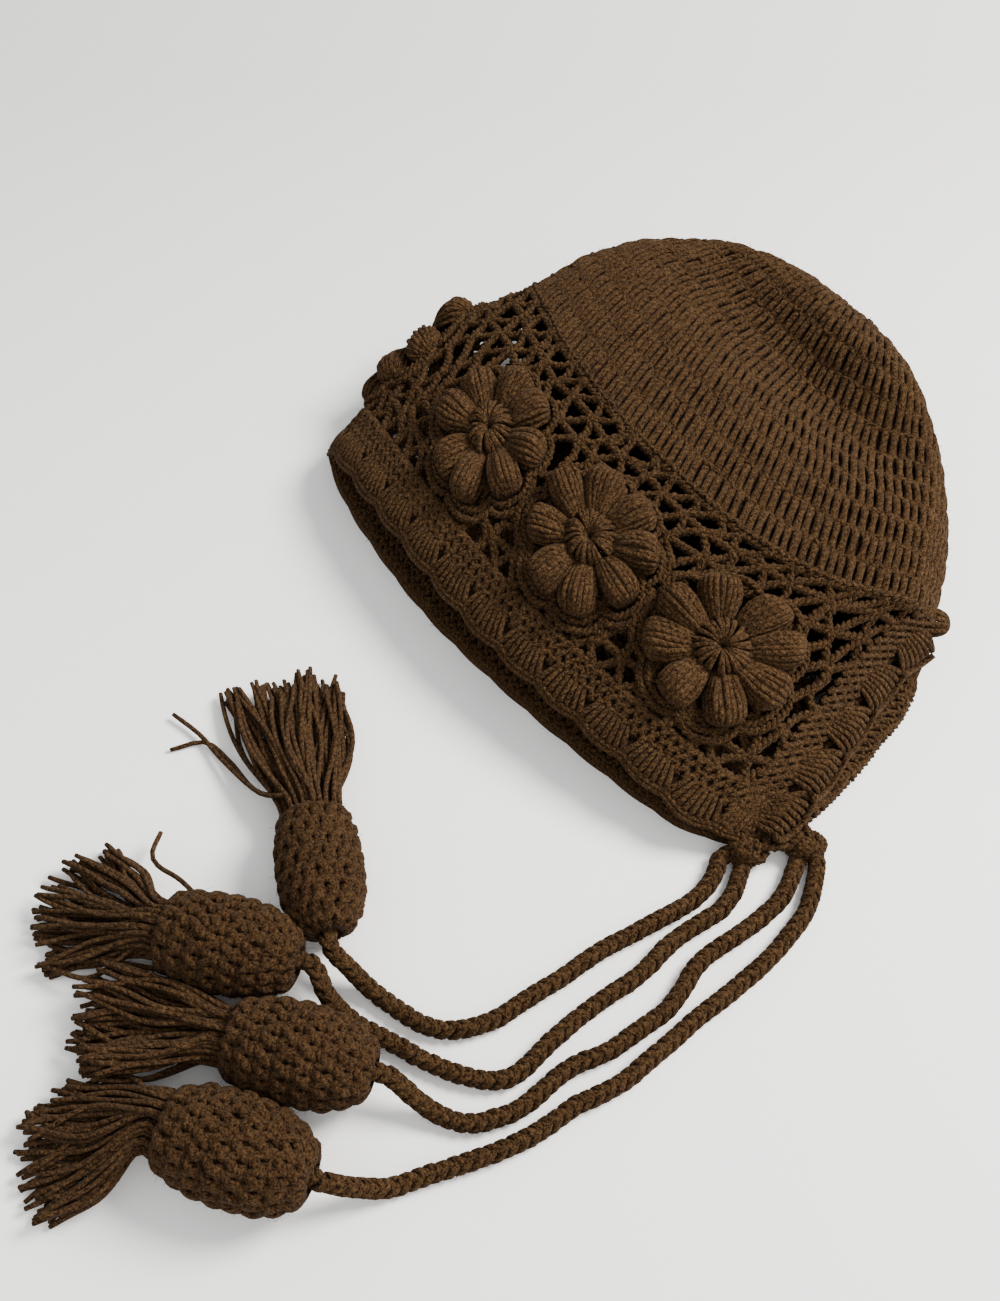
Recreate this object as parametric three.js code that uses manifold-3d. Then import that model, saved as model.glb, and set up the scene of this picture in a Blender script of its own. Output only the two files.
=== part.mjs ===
// A crocheted bonnet with ear points, lying on its side: crown, openwork band with raised flowers,
// scalloped border, two ear knots and four tasselled ties. Millimetres, +Z up, floor at z = 0.
// +X runs along the face edge from the forehead fold to the ear point, +Y from the face edge to the crown.
import * as THREE from "three";
import { mergeVertices } from "three/addons/utils/BufferGeometryUtils.js";
import Module from "manifold-3d";

const wasm = await Module();
wasm.setup();

// Driving dimensions
const WALL = 4; // knitted wall of the crown, band and border
const GAP = 0.3; // between neighbouring pieces
const HAT_MIDDLE = [-4.5, 87.2]; // middle of the hat's own box in plan, which becomes the origin
const COLUMNS = 56; // round the hat, from the under neck edge over the forehead fold to the upper one
const FOLD_SPACING = 0.6; // spacing of the columns at the forehead fold, of their mean spacing
const CROWN_ROUNDS = 10;
const BAND_ROWS = 11;
const BORDER_WIDTH = 0.18; // share of the band strip taken by the edging along the face
const NECK_COLUMNS = 2; // columns of edging up each neck edge
const NECK_TOP_GAP = 2.2; // between the top of that edging and the crown, which is folded there
const FLAT_ROUNDS = 0.56; // share of the crown's rounds before it turns down to the closing point
const FLAT_PLAN = 0.66; // share of the way in plan that they cover
const POLE = [-8, 205, 34]; // closing point of the crown
const NECK_HEIGHT = 6; // greatest height of the under layer's open neck edge
const VALLEY = { depth: 10.5, round: 0.6, roundSpread: 0.09, angle: 105, angleSpread: 42 };
const STRIP_WIDTH = 112; // of the band and its edging, from the face edge to the joint line
const BORDER_ROWS = 2;
const SHELL_REACH = 2.4; // how far a shell of the edging stands out
const GAP_SHRINK = 0.22; // how far each corner of an openwork gap moves to its middle
// A flower's radius at its petals' tips and between them, and its heights. Shares of the height follow.
const FLOWER = {
  radius: 31.5, waist: 25.5, petals: 8, steps: 24, rings: 3, roundness: 0.7,
  height: 8, underHeight: 6.4, seat: 0.6, foldSeat: 1.8,
  edge: 0.3, between: 0.55, hub: 0.6, eye: 0.4,
};
const FLOWER_ROW = -0.47; // station of the flowers' middles
const FLOWER_SEAT = 0.78; // share of a flower's radius where the band under it is whole
const FLOWER_ARCS = [101, 171, 239]; // of the flowers' middles, along the strip from the forehead fold
const TIE = 7.2; // diameter of a tie
const TIE_HEIGHT = TIE / 2 + 0.2; // of its middle where it lies on the floor
const TIE_GAP = 0.4; // between its end and the barrel's
const TIE_LEVEL = 6; // length of the last, level stretch into the barrel
const TIE_RISE = 26; // distance from the barrel in which the tie leaves the floor
const TIE_STEPS = 17;
const TIE_FACETS = 4; // facets in each half of its section
const BARREL = { tieEnd: 5.2, fringeEnd: 10.5, rings: 8, sides: 12, fullness: 2.1 }; // end radii and shape
// A fringe's head length and radius, and its locks' radii from the head to the tip and their flatness.
const FRINGE = { head: 8, neck: 6.6, headSides: 8, lock: [4.2, 5, 6, 3.6], lockSides: 5, flatness: 0.8 };
const LOCK_BEND = { reach: 0.45, sink: 0.38 }; // where a lock bends down, as shares of its way and its fall
const KNOT = { across: 8.6, deep: 5.4, high: 5.6, sides: 10, rings: 6 };
const KNOTS = [
  { name: "ear_knot_under", x: 125.5, y: -16.1, z: 5.8, turn: 38 },
  { name: "ear_knot_upper", x: 139.7, y: 2.2, z: 5.8, turn: 55 },
];

// The ties' routes on the floor from knot to barrel, columns x and y. Each barrel starts at tieEnd and
// heads away from the tie, and each lock of its fringe has its turn from that heading, length and tip height.
const TASSELS = [
  {
    route: [
      [120, -24.3], [124, -35], [124, -46], [121, -58], [117, -73], [113, -88], [111, -103], [108, -116],
      [106, -128], [102, -138], [96, -146], [88, -151], [76, -154], [65, -156], [56, -157.5],
    ],
    tieEnd: [42.4, -154.8],
    heading: 147,
    barrel: { length: 48, radius: 15.6 },
    locks: [
      { turn: -24, length: 66, tip: 4 }, { turn: -12, length: 72, tip: 6 }, { turn: 0, length: 68, tip: 4 },
      { turn: 12, length: 70, tip: 6 }, { turn: 22, length: 74, tip: 4 },
    ],
  },
  {
    route: [
      [128.3, -21.4], [134, -36], [132.5, -48], [130, -61], [130, -71], [130, -82], [128, -93], [126, -107],
      [125, -119], [125, -129], [125, -137], [122, -145], [115, -151], [106, -156], [96, -160], [86, -163],
      [76, -166.5], [66, -169], [57, -169.5],
    ],
    tieEnd: [43.4, -170.2],
    heading: -147.6,
    barrel: { length: 50, radius: 17 },
    locks: [
      { turn: -36, length: 50, tip: 4 }, { turn: -18, length: 56, tip: 5 }, { turn: -2, length: 54, tip: 4 },
      { turn: 12, length: 52, tip: 4 }, { turn: 25, length: 48, tip: 4 },
    ],
  },
  {
    route: [
      [141.6, -4.8], [146.5, -18], [147, -28], [146, -38], [144, -49], [142.5, -59], [143, -67], [145, -75],
      [146, -84], [144.5, -93], [143, -103], [141, -112], [137, -121], [135.5, -130], [135, -138],
      [134, -147], [131, -154], [127, -161], [121, -166], [112, -170],
    ],
    tieEnd: [92.2, -177],
    heading: -147.7,
    barrel: { length: 51, radius: 16.8 },
    locks: [
      { turn: -14, length: 56, tip: 14 }, { turn: -4, length: 60, tip: 12 }, { turn: 6, length: 60, tip: 8 },
      { turn: 15, length: 58, tip: 8 }, { turn: 25, length: 52, tip: 13 },
    ],
  },
  {
    route: [
      [147.1, 0.7], [155.5, -14], [158, -25], [159, -36], [159, -47], [158, -58], [157, -68], [155.5, -79],
      [155, -90], [154, -101], [153, -112], [150.5, -122], [147, -131], [145.5, -140], [143.5, -150],
      [140, -160], [136, -169], [131, -179], [126, -189], [121, -199],
    ],
    tieEnd: [104.4, -214.6],
    heading: -152.5,
    barrel: { length: 52, radius: 17.8 },
    locks: [
      { turn: -4, length: 46, tip: 4 }, { turn: 8, length: 56, tip: 4 }, { turn: 20, length: 57, tip: 5 },
      { turn: 36, length: 56, tip: 4 }, { turn: 52, length: 52, tip: 4 },
    ],
  },
];

// Plan curves of the flattened hat. Columns: x, y.
const FOREHEAD_FOLD = [[-136, -4], [-142, 27], [-145, 48], [-146, 85], [-140, 106], [-133, 124]];
const JOINT_LINE = [
  [-133, 124], [-118, 110], [-77, 87], [-36, 73], [3, 66], [36, 63], [63, 66], [86, 75], [105, 92], [118, 108],
];
const FACE_UPPER = [[-136, -4], [-92, -16], [-29, -28], [16, -31], [80, -28], [108, -23], [127, -7]];
const FACE_UNDER = [[-136, -4], [-96, -16], [-42, -26], [18, -28], [80, -25], [105, -20], [127, -7]];
const NECK_UPPER = [[127, -7], [125, 17], [121, 44], [116, 72], [115, 93], [118, 108]];
const NECK_UNDER = [[127, -7], [131, 14], [131, 41], [129, 59], [127, 79], [118, 108]];
const CROWN_FRONT = [
  [-133, 124], [-129, 149], [-122, 165], [-112, 179], [-85, 198], [-46, 207], [-27, 208], [-8, 205],
];
const CROWN_BACK = [[118, 108], [100, 139], [75, 166], [42, 188], [25, 196], [9, 202], [-8, 205]];

// Heights of the outer face. Columns: angles round a layer, 0 at the forehead fold, 180 at the nape.
// Rows: stations, -1 at the face edge, 0 at the joint line of the crown, up to where it turns down.
const ANGLES = [0, 15, 30, 60, 90, 120, 150, 165, 180];
const UPPER_HEIGHTS = [
  { station: -1, z: [12, 20, 27, 33, 32, 26, 14, 10, 9] },
  { station: -0.82, z: [14, 24, 32, 41, 41, 34, 19, 13, 11] },
  { station: -0.5, z: [18, 30, 40, 52, 54, 48, 30, 19, 13] },
  { station: -0.2, z: [21, 34, 45, 57, 60, 56, 40, 26, 16] },
  { station: 0, z: [24, 37, 48, 60, 63, 60, 46, 31, 18] },
  { station: 0.3, z: [28, 42, 53, 65, 69, 68, 56, 42, 24] },
  { station: 0.56, z: [31, 45, 56, 67, 71, 71, 60, 47, 29] },
];
const UNDER_HEIGHTS = [
  { station: -1, z: [12, 5, 1, 0, 0, 0, 0, 0.4, 0.6] },
  { station: -0.82, z: [14, 9, 7, 7, 7, 7, 5, 3, 2] },
  { station: -0.5, z: [18, 11, 8, 8, 8, 8, 7, 5, 3] },
  { station: -0.2, z: [21, 13, 8, 7, 7, 7, 7, 5, 4] },
  { station: 0, z: [24, 14, 6, 0, 0, 0, 4, 10, 18] },
  { station: 0.3, z: [28, 16, 6, 0, 0, 0, 4, 12, 24] },
  { station: 0.56, z: [31, 17, 6, 0, 0, 0, 5, 14, 29] },
];

const RAD = Math.PI / 180;
const clamp = (value, low, high) => Math.min(high, Math.max(low, value));

// A smooth plan curve through points, asked for by its share of the length, 0 to 1.
function planCurve(points) {
  const curve = new THREE.CatmullRomCurve3(points.map(([x, y]) => new THREE.Vector3(x, y, 0)), false, "catmullrom");
  const samples = curve.getSpacedPoints(400);
  return (share) => {
    const place = clamp(share, 0, 1) * 400;
    const start = Math.min(399, Math.floor(place));
    return samples[start].clone().lerp(samples[start + 1], place - start);
  };
}

const foreheadFold = planCurve(FOREHEAD_FOLD);
const jointLine = planCurve(JOINT_LINE);
const layers = {
  upper: { face: planCurve(FACE_UPPER), neck: planCurve(NECK_UPPER), heights: UPPER_HEIGHTS },
  under: { face: planCurve(FACE_UNDER), neck: planCurve(NECK_UNDER), heights: UNDER_HEIGHTS },
};
const crownFront = planCurve(CROWN_FRONT);
const crownBack = planCurve(CROWN_BACK);
const pole = new THREE.Vector3(POLE[0], POLE[1], 0);

// A smooth value between the rows of a table of positions and values.
function smoothValue(positions, values, at) {
  const x = clamp(at, positions[0], positions[positions.length - 1]);
  let i = positions.findIndex((position) => position > x) - 1;
  if (i < 0) i = positions.length - 2;
  const slope = (k) => {
    const low = Math.max(0, k - 1);
    const high = Math.min(positions.length - 1, k + 1);
    return (values[high] - values[low]) / (positions[high] - positions[low]);
  };
  const span = positions[i + 1] - positions[i];
  const t = (x - positions[i]) / span;
  const rise = values[i] * (2 * t ** 3 - 3 * t ** 2 + 1) + values[i + 1] * (3 * t ** 2 - 2 * t ** 3);
  return rise + span * (slope(i) * (t ** 3 - 2 * t ** 2 + t) + slope(i + 1) * (t ** 3 - t ** 2));
}

// The share of the way in plan to the closing point, and the share of height kept, for a share of the rounds.
function crownAdvance(rounds) {
  if (rounds < FLAT_ROUNDS) return { plan: (FLAT_PLAN * rounds) / FLAT_ROUNDS, rise: 1 };
  const turn = (Math.PI / 2) * Math.min(1, (rounds - FLAT_ROUNDS) / (1 - FLAT_ROUNDS));
  return { plan: FLAT_PLAN + (1 - FLAT_PLAN) * Math.sin(turn), rise: Math.cos(turn) };
}

// A patch between four curves that meet at its corners.
function patch(across, along, bottom, top, left, right, corners) {
  const point = bottom.clone().multiplyScalar(1 - along).addScaledVector(top, along);
  point.addScaledVector(left, 1 - across).addScaledVector(right, across);
  point.addScaledVector(corners.bottomLeft, -(1 - across) * (1 - along));
  point.addScaledVector(corners.bottomRight, -across * (1 - along));
  point.addScaledVector(corners.topLeft, -(1 - across) * along);
  return point.addScaledVector(corners.topRight, -across * along);
}

// The plan place of the band strip, station -1 at the face edge and 0 at the joint line.
function stripPlan(layer, across, station) {
  const along = station + 1;
  const corners = {
    bottomLeft: layer.face(0), bottomRight: layer.face(1), topLeft: jointLine(0), topRight: jointLine(1),
  };
  return patch(across, along, layer.face(across), jointLine(across), foreheadFold(along), layer.neck(along), corners);
}

// The plan place of the crown, rounds 0 at the joint line and 1 at the closing point.
function crownPlan(across, rounds) {
  const { plan } = crownAdvance(rounds);
  const towardPole = (point) => point.lerp(pole, plan);
  const point = towardPole(jointLine(across));
  point.addScaledVector(crownFront(rounds).sub(towardPole(jointLine(0))), 1 - across);
  return point.addScaledVector(crownBack(rounds).sub(towardPole(jointLine(1))), across);
}

// The outer face. The angle is 0 at the forehead fold, positive round the upper layer to 180 at the nape
// and negative round the under layer.
function outerFace(angle, station) {
  const upper = angle >= 0;
  const layer = upper ? layers.upper : layers.under;
  const turn = Math.abs(angle);
  const across = (1 - Math.cos(turn * RAD)) / 2;
  const point = station < 0 ? stripPlan(layer, across, station) : crownPlan(across, station);
  const stations = layer.heights.map((row) => row.station);
  const columns = layer.heights.map((row) => smoothValue(ANGLES, row.z, turn));
  const height = smoothValue(stations, columns, Math.min(station, FLAT_ROUNDS));
  const { rise } = crownAdvance(station);
  point.z = Math.max(0, POLE[2] + (height - POLE[2]) * rise);
  if (upper) {
    const nearRound = Math.exp(-(((station - VALLEY.round) / VALLEY.roundSpread) ** 2));
    const nearAngle = Math.exp(-(((turn - VALLEY.angle) / VALLEY.angleSpread) ** 2));
    point.z -= VALLEY.depth * nearRound * nearAngle;
  }
  return point;
}

// An angle brought back between -180 and 180, because the crown's loops close at the nape.
function wrapped(angle) {
  if (angle > 180) return angle - 360;
  return angle < -180 ? angle + 360 : angle;
}

// The directions at a place of the face: out of it, round the hat, and along the face to the crown.
function directions(angle, station) {
  if (station > 0.999) return { out: new THREE.Vector3(0, 1, 0), round: null, toward: null };
  const turn = 1.5; // degrees
  const step = 0.012; // of the stations
  const side = (offset) => {
    const moved = angle + offset;
    return outerFace(station < 0 ? clamp(moved, -180, 180) : wrapped(moved), station);
  };
  const round = side(turn).sub(side(-turn)).normalize();
  const low = Math.max(-1, station - step);
  const toward = outerFace(angle, Math.min(1, station + step)).sub(outerFace(angle, low));
  const out = round.clone().cross(toward).normalize();
  return { out, round, toward: out.clone().cross(round) };
}

// The solid between two faces over a grid of columns and rows, cut through where a cell isn't kept.
// place(column, row, inner) gives a point, and a closed grid's last column meets its first.
function sheetSolid({ columns, rows, closed, place, keep }) {
  const positions = [];
  const indices = [];
  const columnCount = closed ? columns : columns + 1;
  const index = (column, row, inner) => ((column % columnCount) * (rows + 1) + row) * 2 + (inner ? 1 : 0);
  for (let column = 0; column < columnCount; column += 1) {
    for (let row = 0; row <= rows; row += 1) {
      positions.push(...place(column, row, false).toArray(), ...place(column, row, true).toArray());
    }
  }
  const corner = (k) => new THREE.Vector3().fromArray(positions, 3 * k);
  const triangle = (a, b, c) => {
    const flat = [[a, b], [b, c], [c, a]].some(([p, q]) => corner(p).distanceTo(corner(q)) < 1e-4);
    if (!flat) indices.push(a, b, c);
  };
  const quad = (a, b, c, d) => {
    triangle(a, b, c);
    triangle(a, c, d);
  };
  const kept = (column, row) => {
    if (row < 0 || row >= rows || (!closed && (column < 0 || column >= columns))) return false;
    return keep((column + columns) % columns, row);
  };
  for (let column = 0; column < columns; column += 1) {
    for (let row = 0; row < rows; row += 1) {
      if (!kept(column, row)) continue;
      const outer = [[0, 0], [1, 0], [1, 1], [0, 1]].map(([c, r]) => index(column + c, row + r, false));
      const inner = [[0, 0], [1, 0], [1, 1], [0, 1]].map(([c, r]) => index(column + c, row + r, true));
      quad(outer[0], outer[1], outer[2], outer[3]);
      quad(inner[3], inner[2], inner[1], inner[0]);
      const neighbours = [[0, -1], [1, 0], [0, 1], [-1, 0]]; // the last two split like the walls they face
      neighbours.forEach(([c, r], side) => {
        if (kept(column + c, row + r)) return;
        const next = (side + 1) % 4;
        const wall = [outer[next], outer[side], inner[side], inner[next]];
        if (side < 2) quad(...wall);
        else quad(wall[1], wall[2], wall[3], wall[0]);
      });
    }
  }
  const geometry = new THREE.BufferGeometry();
  geometry.setAttribute("position", new THREE.Float32BufferAttribute(positions, 3));
  geometry.setIndex(indices);
  return facingOut(mergeVertices(usedOnly(geometry), 1e-4));
}

// Only the points that a triangle uses.
function usedOnly(geometry) {
  const plain = geometry.index ? geometry.toNonIndexed() : geometry;
  plain.deleteAttribute("normal");
  plain.deleteAttribute("uv");
  return plain;
}

// The geometry with its faces turned so that its volume is positive.
function facingOut(geometry) {
  const index = geometry.getIndex().array;
  const position = geometry.getAttribute("position");
  const [a, b, c] = [new THREE.Vector3(), new THREE.Vector3(), new THREE.Vector3()];
  let volume = 0;
  for (let k = 0; k < index.length; k += 3) {
    a.fromBufferAttribute(position, index[k]);
    b.fromBufferAttribute(position, index[k + 1]);
    c.fromBufferAttribute(position, index[k + 2]);
    volume += a.dot(b.cross(c));
  }
  if (volume < 0) {
    for (let k = 0; k < index.length; k += 3) [index[k + 1], index[k + 2]] = [index[k + 2], index[k + 1]];
  }
  return geometry;
}

// A length of the strip from the forehead fold, and the angle where it ends, along the flowers' row.
const stripLengths = {};
for (const sign of [1, -1]) {
  let length = 0;
  let last = outerFace(0, FLOWER_ROW);
  const table = [{ angle: 0, length: 0 }];
  for (let angle = 1; angle <= 180; angle += 1) {
    const point = outerFace(sign * angle, FLOWER_ROW);
    length += point.distanceTo(last);
    table.push({ angle, length });
    last = point;
  }
  stripLengths[sign] = table;
}

function angleAt(arc) {
  const table = stripLengths[arc < 0 ? -1 : 1];
  const length = Math.abs(arc);
  const next = Math.max(1, table.findIndex((row) => row.length >= length));
  const row = table[next];
  const before = table[next - 1];
  const share = clamp((length - before.length) / (row.length - before.length), 0, 1);
  return Math.sign(arc || 1) * (before.angle + share * (row.angle - before.angle));
}

const wholeArc = { 1: stripLengths[1].at(-1).length, [-1]: stripLengths[-1].at(-1).length };

// The angle of a column: closer columns round the forehead fold, wider ones toward the neck.
function columnAngle(column) {
  const share = (2 * column) / COLUMNS - 1;
  const length = (FOLD_SPACING + (1 - FOLD_SPACING) * Math.abs(share)) * Math.abs(share);
  if (Math.abs(share) > 0.999) return 180 * Math.sign(share);
  return angleAt(Math.sign(share) * length * wholeArc[share < 0 ? -1 : 1]);
}

const angles = Array.from({ length: COLUMNS + 1 }, (_, column) => columnAngle(column));

// A point of the knitted wall, on its outer or inner face, moved along the face by a shift that
// keeps its direction, so that two walls that meet have parallel ends.
function wallPoint(angle, station, inner, shift = {}) {
  const point = outerFace(angle, station);
  const { out, round, toward } = directions(angle, station);
  if (shift.round) point.addScaledVector(round, shift.round);
  if (shift.toward) point.addScaledVector(toward, shift.toward);
  if (inner) point.addScaledVector(out, -WALL);
  return point;
}

function crown() {
  return sheetSolid({
    columns: COLUMNS,
    rows: CROWN_ROUNDS,
    closed: true,
    place: (column, row, inner) => wallPoint(angles[column], row / CROWN_ROUNDS, inner),
    keep: () => true,
  });
}

// The strip's open neck edge lies low on the under side, away from the crown's fold.
function stripPoint(angle, station, inner, shift) {
  const point = wallPoint(angle, station, inner, shift);
  if (angle < -150) point.z = Math.min(point.z, inner ? NECK_HEIGHT + WALL : NECK_HEIGHT);
  return point;
}

const borderTop = BORDER_WIDTH - 1;
const bandStation = (row) => borderTop * (1 - row / BAND_ROWS);

// The band, cut through at every other cell of every other row apart from where a flower sits.
function band(flowerMiddles) {
  const columns = COLUMNS - 2 * NECK_COLUMNS;
  const angle = (column) => angles[NECK_COLUMNS + column];
  const isGap = (column, row) => {
    const inside = column > 0 && column < columns - 1 && row > 0 && row < BAND_ROWS - 1;
    if (!inside || column % 2 === 0 || row % 2 === 0) return false;
    const middle = outerFace((angle(column) + angle(column + 1)) / 2, bandStation(row + 0.5));
    return flowerMiddles.every((flower) => middle.distanceTo(flower) > FLOWER.radius * FLOWER_SEAT);
  };
  const odd = (value) => (value % 2 === 1 ? value : value - 1);
  const place = (column, row, inner) => {
    const c = odd(column);
    const r = odd(row);
    let turn = angle(column);
    let station = bandStation(row);
    if (isGap(c, r)) {
      turn += GAP_SHRINK * (angle(c + 1) + angle(c) - 2 * turn);
      station += GAP_SHRINK * (bandStation(r) + bandStation(r + 1) - 2 * station);
    }
    const shift = { round: endShift(column, columns), toward: endShift(row, BAND_ROWS) };
    return stripPoint(turn, station, inner, shift);
  };
  return sheetSolid({
    columns, rows: BAND_ROWS, closed: false, place, keep: (column, row) => !isGap(column, row),
  });
}

// The way in from an end of the band: its first line moves forward and its last one back.
function endShift(line, count) {
  if (line === 0) return GAP;
  return line === count ? -GAP : 0;
}

// The edging: rows along the face edge and columns up both neck edges, with a shell at every other column.
function border() {
  const rows = BORDER_ROWS + BAND_ROWS;
  const station = (row) => {
    if (row <= BORDER_ROWS) return -1 + (BORDER_WIDTH * row) / BORDER_ROWS;
    return bandStation(row - BORDER_ROWS);
  };
  const plain = (column, row, inner) => {
    const shift = { toward: row === rows ? -NECK_TOP_GAP : 0 };
    return stripPoint(angles[column], station(row), inner, shift);
  };
  const place = (column, row, inner) => {
    const point = plain(column, row, inner);
    const onFace = row === 0;
    const onNeck = column === 0 || column === COLUMNS;
    const shell = (onFace && column % 2 === 0) || (onNeck && row % 2 === 1 && row < rows);
    if (!shell) return point;
    const neighbour = column === 0 ? 1 : COLUMNS - 1;
    const inward = onFace ? plain(column, 1, inner) : plain(neighbour, row, inner);
    const reach = point.clone().sub(inward).setZ(0).normalize();
    return point.addScaledVector(reach, SHELL_REACH);
  };
  const keep = (column, row) => row < BORDER_ROWS || column < NECK_COLUMNS || column >= COLUMNS - NECK_COLUMNS;
  return sheetSolid({ columns: COLUMNS, rows, closed: false, place, keep });
}

// An eight-petal flower on the strip, arc millimetres round from the forehead fold.
function flower(arc, height, seat) {
  const lobe = (turn) => Math.abs(Math.cos((FLOWER.petals / 2) * turn)) ** FLOWER.roundness;
  return sheetSolid({
    columns: FLOWER.steps,
    rows: FLOWER.rings,
    closed: true,
    keep: () => true,
    place: (column, ring, inner) => {
      const turn = (2 * Math.PI * column) / FLOWER.steps;
      const edge = FLOWER.waist + (FLOWER.radius - FLOWER.waist) * lobe(turn);
      const reach = edge * (1 - ring / FLOWER.rings);
      const angle = angleAt(arc + reach * Math.cos(turn));
      const station = FLOWER_ROW + (reach * Math.sin(turn)) / STRIP_WIDTH;
      const point = outerFace(angle, station);
      const up = directions(angle, station).out;
      point.addScaledVector(up, seat);
      if (inner) return point;
      const puff = FLOWER.between + (1 - FLOWER.between) * lobe(turn);
      point.addScaledVector(up, height * [FLOWER.edge, puff, FLOWER.hub, FLOWER.eye][ring]);
      point.z = Math.max(0, point.z);
      return point;
    },
  });
}

// A closed tube through points with a radius at each, flattened upward.
function taperedTube(points, radii, sides, flatness) {
  const positions = [];
  const indices = [];
  const last = points.length - 1;
  points.forEach((point, k) => {
    const along = points[Math.min(last, k + 1)].clone().sub(points[Math.max(0, k - 1)]).normalize();
    const aside = new THREE.Vector3(0, 0, 1).cross(along).normalize();
    const up = along.clone().cross(aside);
    for (let side = 0; side < sides; side += 1) {
      const turn = (2 * Math.PI * side) / sides;
      const rim = point.clone().addScaledVector(aside, radii[k] * Math.cos(turn));
      rim.addScaledVector(up, radii[k] * flatness * Math.sin(turn));
      positions.push(rim.x, rim.y, rim.z);
    }
  });
  positions.push(...points[0].toArray(), ...points[last].toArray());
  const [start, end] = [points.length * sides, points.length * sides + 1];
  for (let side = 0; side < sides; side += 1) {
    const next = (side + 1) % sides;
    indices.push(start, next, side, end, last * sides + side, last * sides + next);
    for (let k = 0; k < last; k += 1) {
      const [a, b] = [k * sides + side, k * sides + next];
      indices.push(a, b, b + sides, a, b + sides, a + sides);
    }
  }
  const geometry = new THREE.BufferGeometry();
  geometry.setAttribute("position", new THREE.Float32BufferAttribute(positions, 3));
  geometry.setIndex(indices);
  return facingOut(geometry);
}

function toSolid(geometry) {
  const vertProperties = new Float32Array(geometry.getAttribute("position").array);
  const triVerts = new Uint32Array(geometry.getIndex().array);
  return new wasm.Manifold(new wasm.Mesh({ numProp: 3, vertProperties, triVerts }));
}

function fromSolid(solid) {
  const mesh = solid.getMesh();
  const geometry = new THREE.BufferGeometry();
  geometry.setAttribute("position", new THREE.BufferAttribute(mesh.vertProperties, 3));
  geometry.setIndex(new THREE.BufferAttribute(mesh.triVerts, 1));
  return geometry;
}

// A round padded body on its side, with flat ends that the tie and the fringe meet.
function barrel({ length, radius }) {
  const profile = [new THREE.Vector2(0, 0)];
  for (let k = 0; k <= BARREL.rings; k += 1) {
    const share = (2 * k) / BARREL.rings - 1;
    const swell = (1 - Math.abs(share) ** BARREL.fullness) ** 0.5;
    const end = share < 0 ? BARREL.tieEnd : BARREL.fringeEnd;
    profile.push(new THREE.Vector2(end + (radius - end) * swell, (length * k) / BARREL.rings));
  }
  profile.push(new THREE.Vector2(0, length));
  return facingOut(mergeVertices(usedOnly(new THREE.LatheGeometry(profile, BARREL.sides)), 1e-4));
}

// The fringe: a head against the barrel's end and locks that fan out and sink to the floor.
function fringe(start, heading, locks) {
  const ahead = new THREE.Vector3(Math.cos(heading * RAD), Math.sin(heading * RAD), 0);
  const root = start.clone().addScaledVector(ahead, GAP);
  const neck = root.clone().addScaledVector(ahead, FRINGE.head);
  let solid = toSolid(taperedTube([root, neck], [FRINGE.neck, FRINGE.neck], FRINGE.headSides, 1));
  for (const { turn, length, tip } of locks) {
    const bearing = (heading + turn) * RAD;
    const way = new THREE.Vector3(Math.cos(bearing), Math.sin(bearing), 0);
    const from = root.clone().addScaledVector(ahead, GAP);
    const end = root.clone().addScaledVector(way, length).setZ(tip);
    const middle = neck.clone().lerp(end, LOCK_BEND.reach);
    middle.z += (tip - neck.z) * (1 - LOCK_BEND.sink - LOCK_BEND.reach);
    const path = [from, neck, middle, end];
    solid = solid.add(toSolid(taperedTube(path, FRINGE.lock, FRINGE.lockSides, FRINGE.flatness)));
  }
  return fromSolid(solid);
}

function knot() {
  const ball = new THREE.SphereGeometry(1, KNOT.sides, KNOT.rings);
  ball.scale(KNOT.across, KNOT.deep, KNOT.high);
  return facingOut(mergeVertices(usedOnly(ball), 1e-4));
}

// Heights for a tie's route, which leaves the floor and goes level into its barrel.
function raised(route, mouth) {
  return route.map(([x, y]) => {
    const far = clamp((Math.hypot(x - mouth.x, y - mouth.y) - TIE_LEVEL) / (TIE_RISE - TIE_LEVEL), 0, 1);
    const sunk = far * far * (3 - 2 * far);
    return new THREE.Vector3(x, y, mouth.z + (TIE_HEIGHT - mouth.z) * sunk);
  });
}

// A tie from its knot along the floor and up into the end of its barrel.
function tie(route, mouth, ahead) {
  const level = mouth.clone().addScaledVector(ahead, -TIE_LEVEL);
  const path = new THREE.CatmullRomCurve3([...raised(route, mouth), level, mouth], false, "catmullrom");
  const section = new THREE.Shape();
  section.absarc(0, 0, TIE / 2, 0, 2 * Math.PI, false);
  const geometry = new THREE.ExtrudeGeometry(section, { steps: TIE_STEPS, curveSegments: TIE_FACETS, extrudePath: path });
  return facingOut(mergeVertices(usedOnly(geometry), 1e-3));
}

const YARN = { color: 0x4a3424, roughness: 0.95, metalness: 0 };
const hat = new THREE.Group();
hat.position.set(-HAT_MIDDLE[0], -HAT_MIDDLE[1], 0);

function addPiece(name, geometry) {
  const mesh = new THREE.Mesh(geometry, new THREE.MeshStandardMaterial(YARN));
  mesh.name = name;
  hat.add(mesh);
  return mesh;
}

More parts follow.
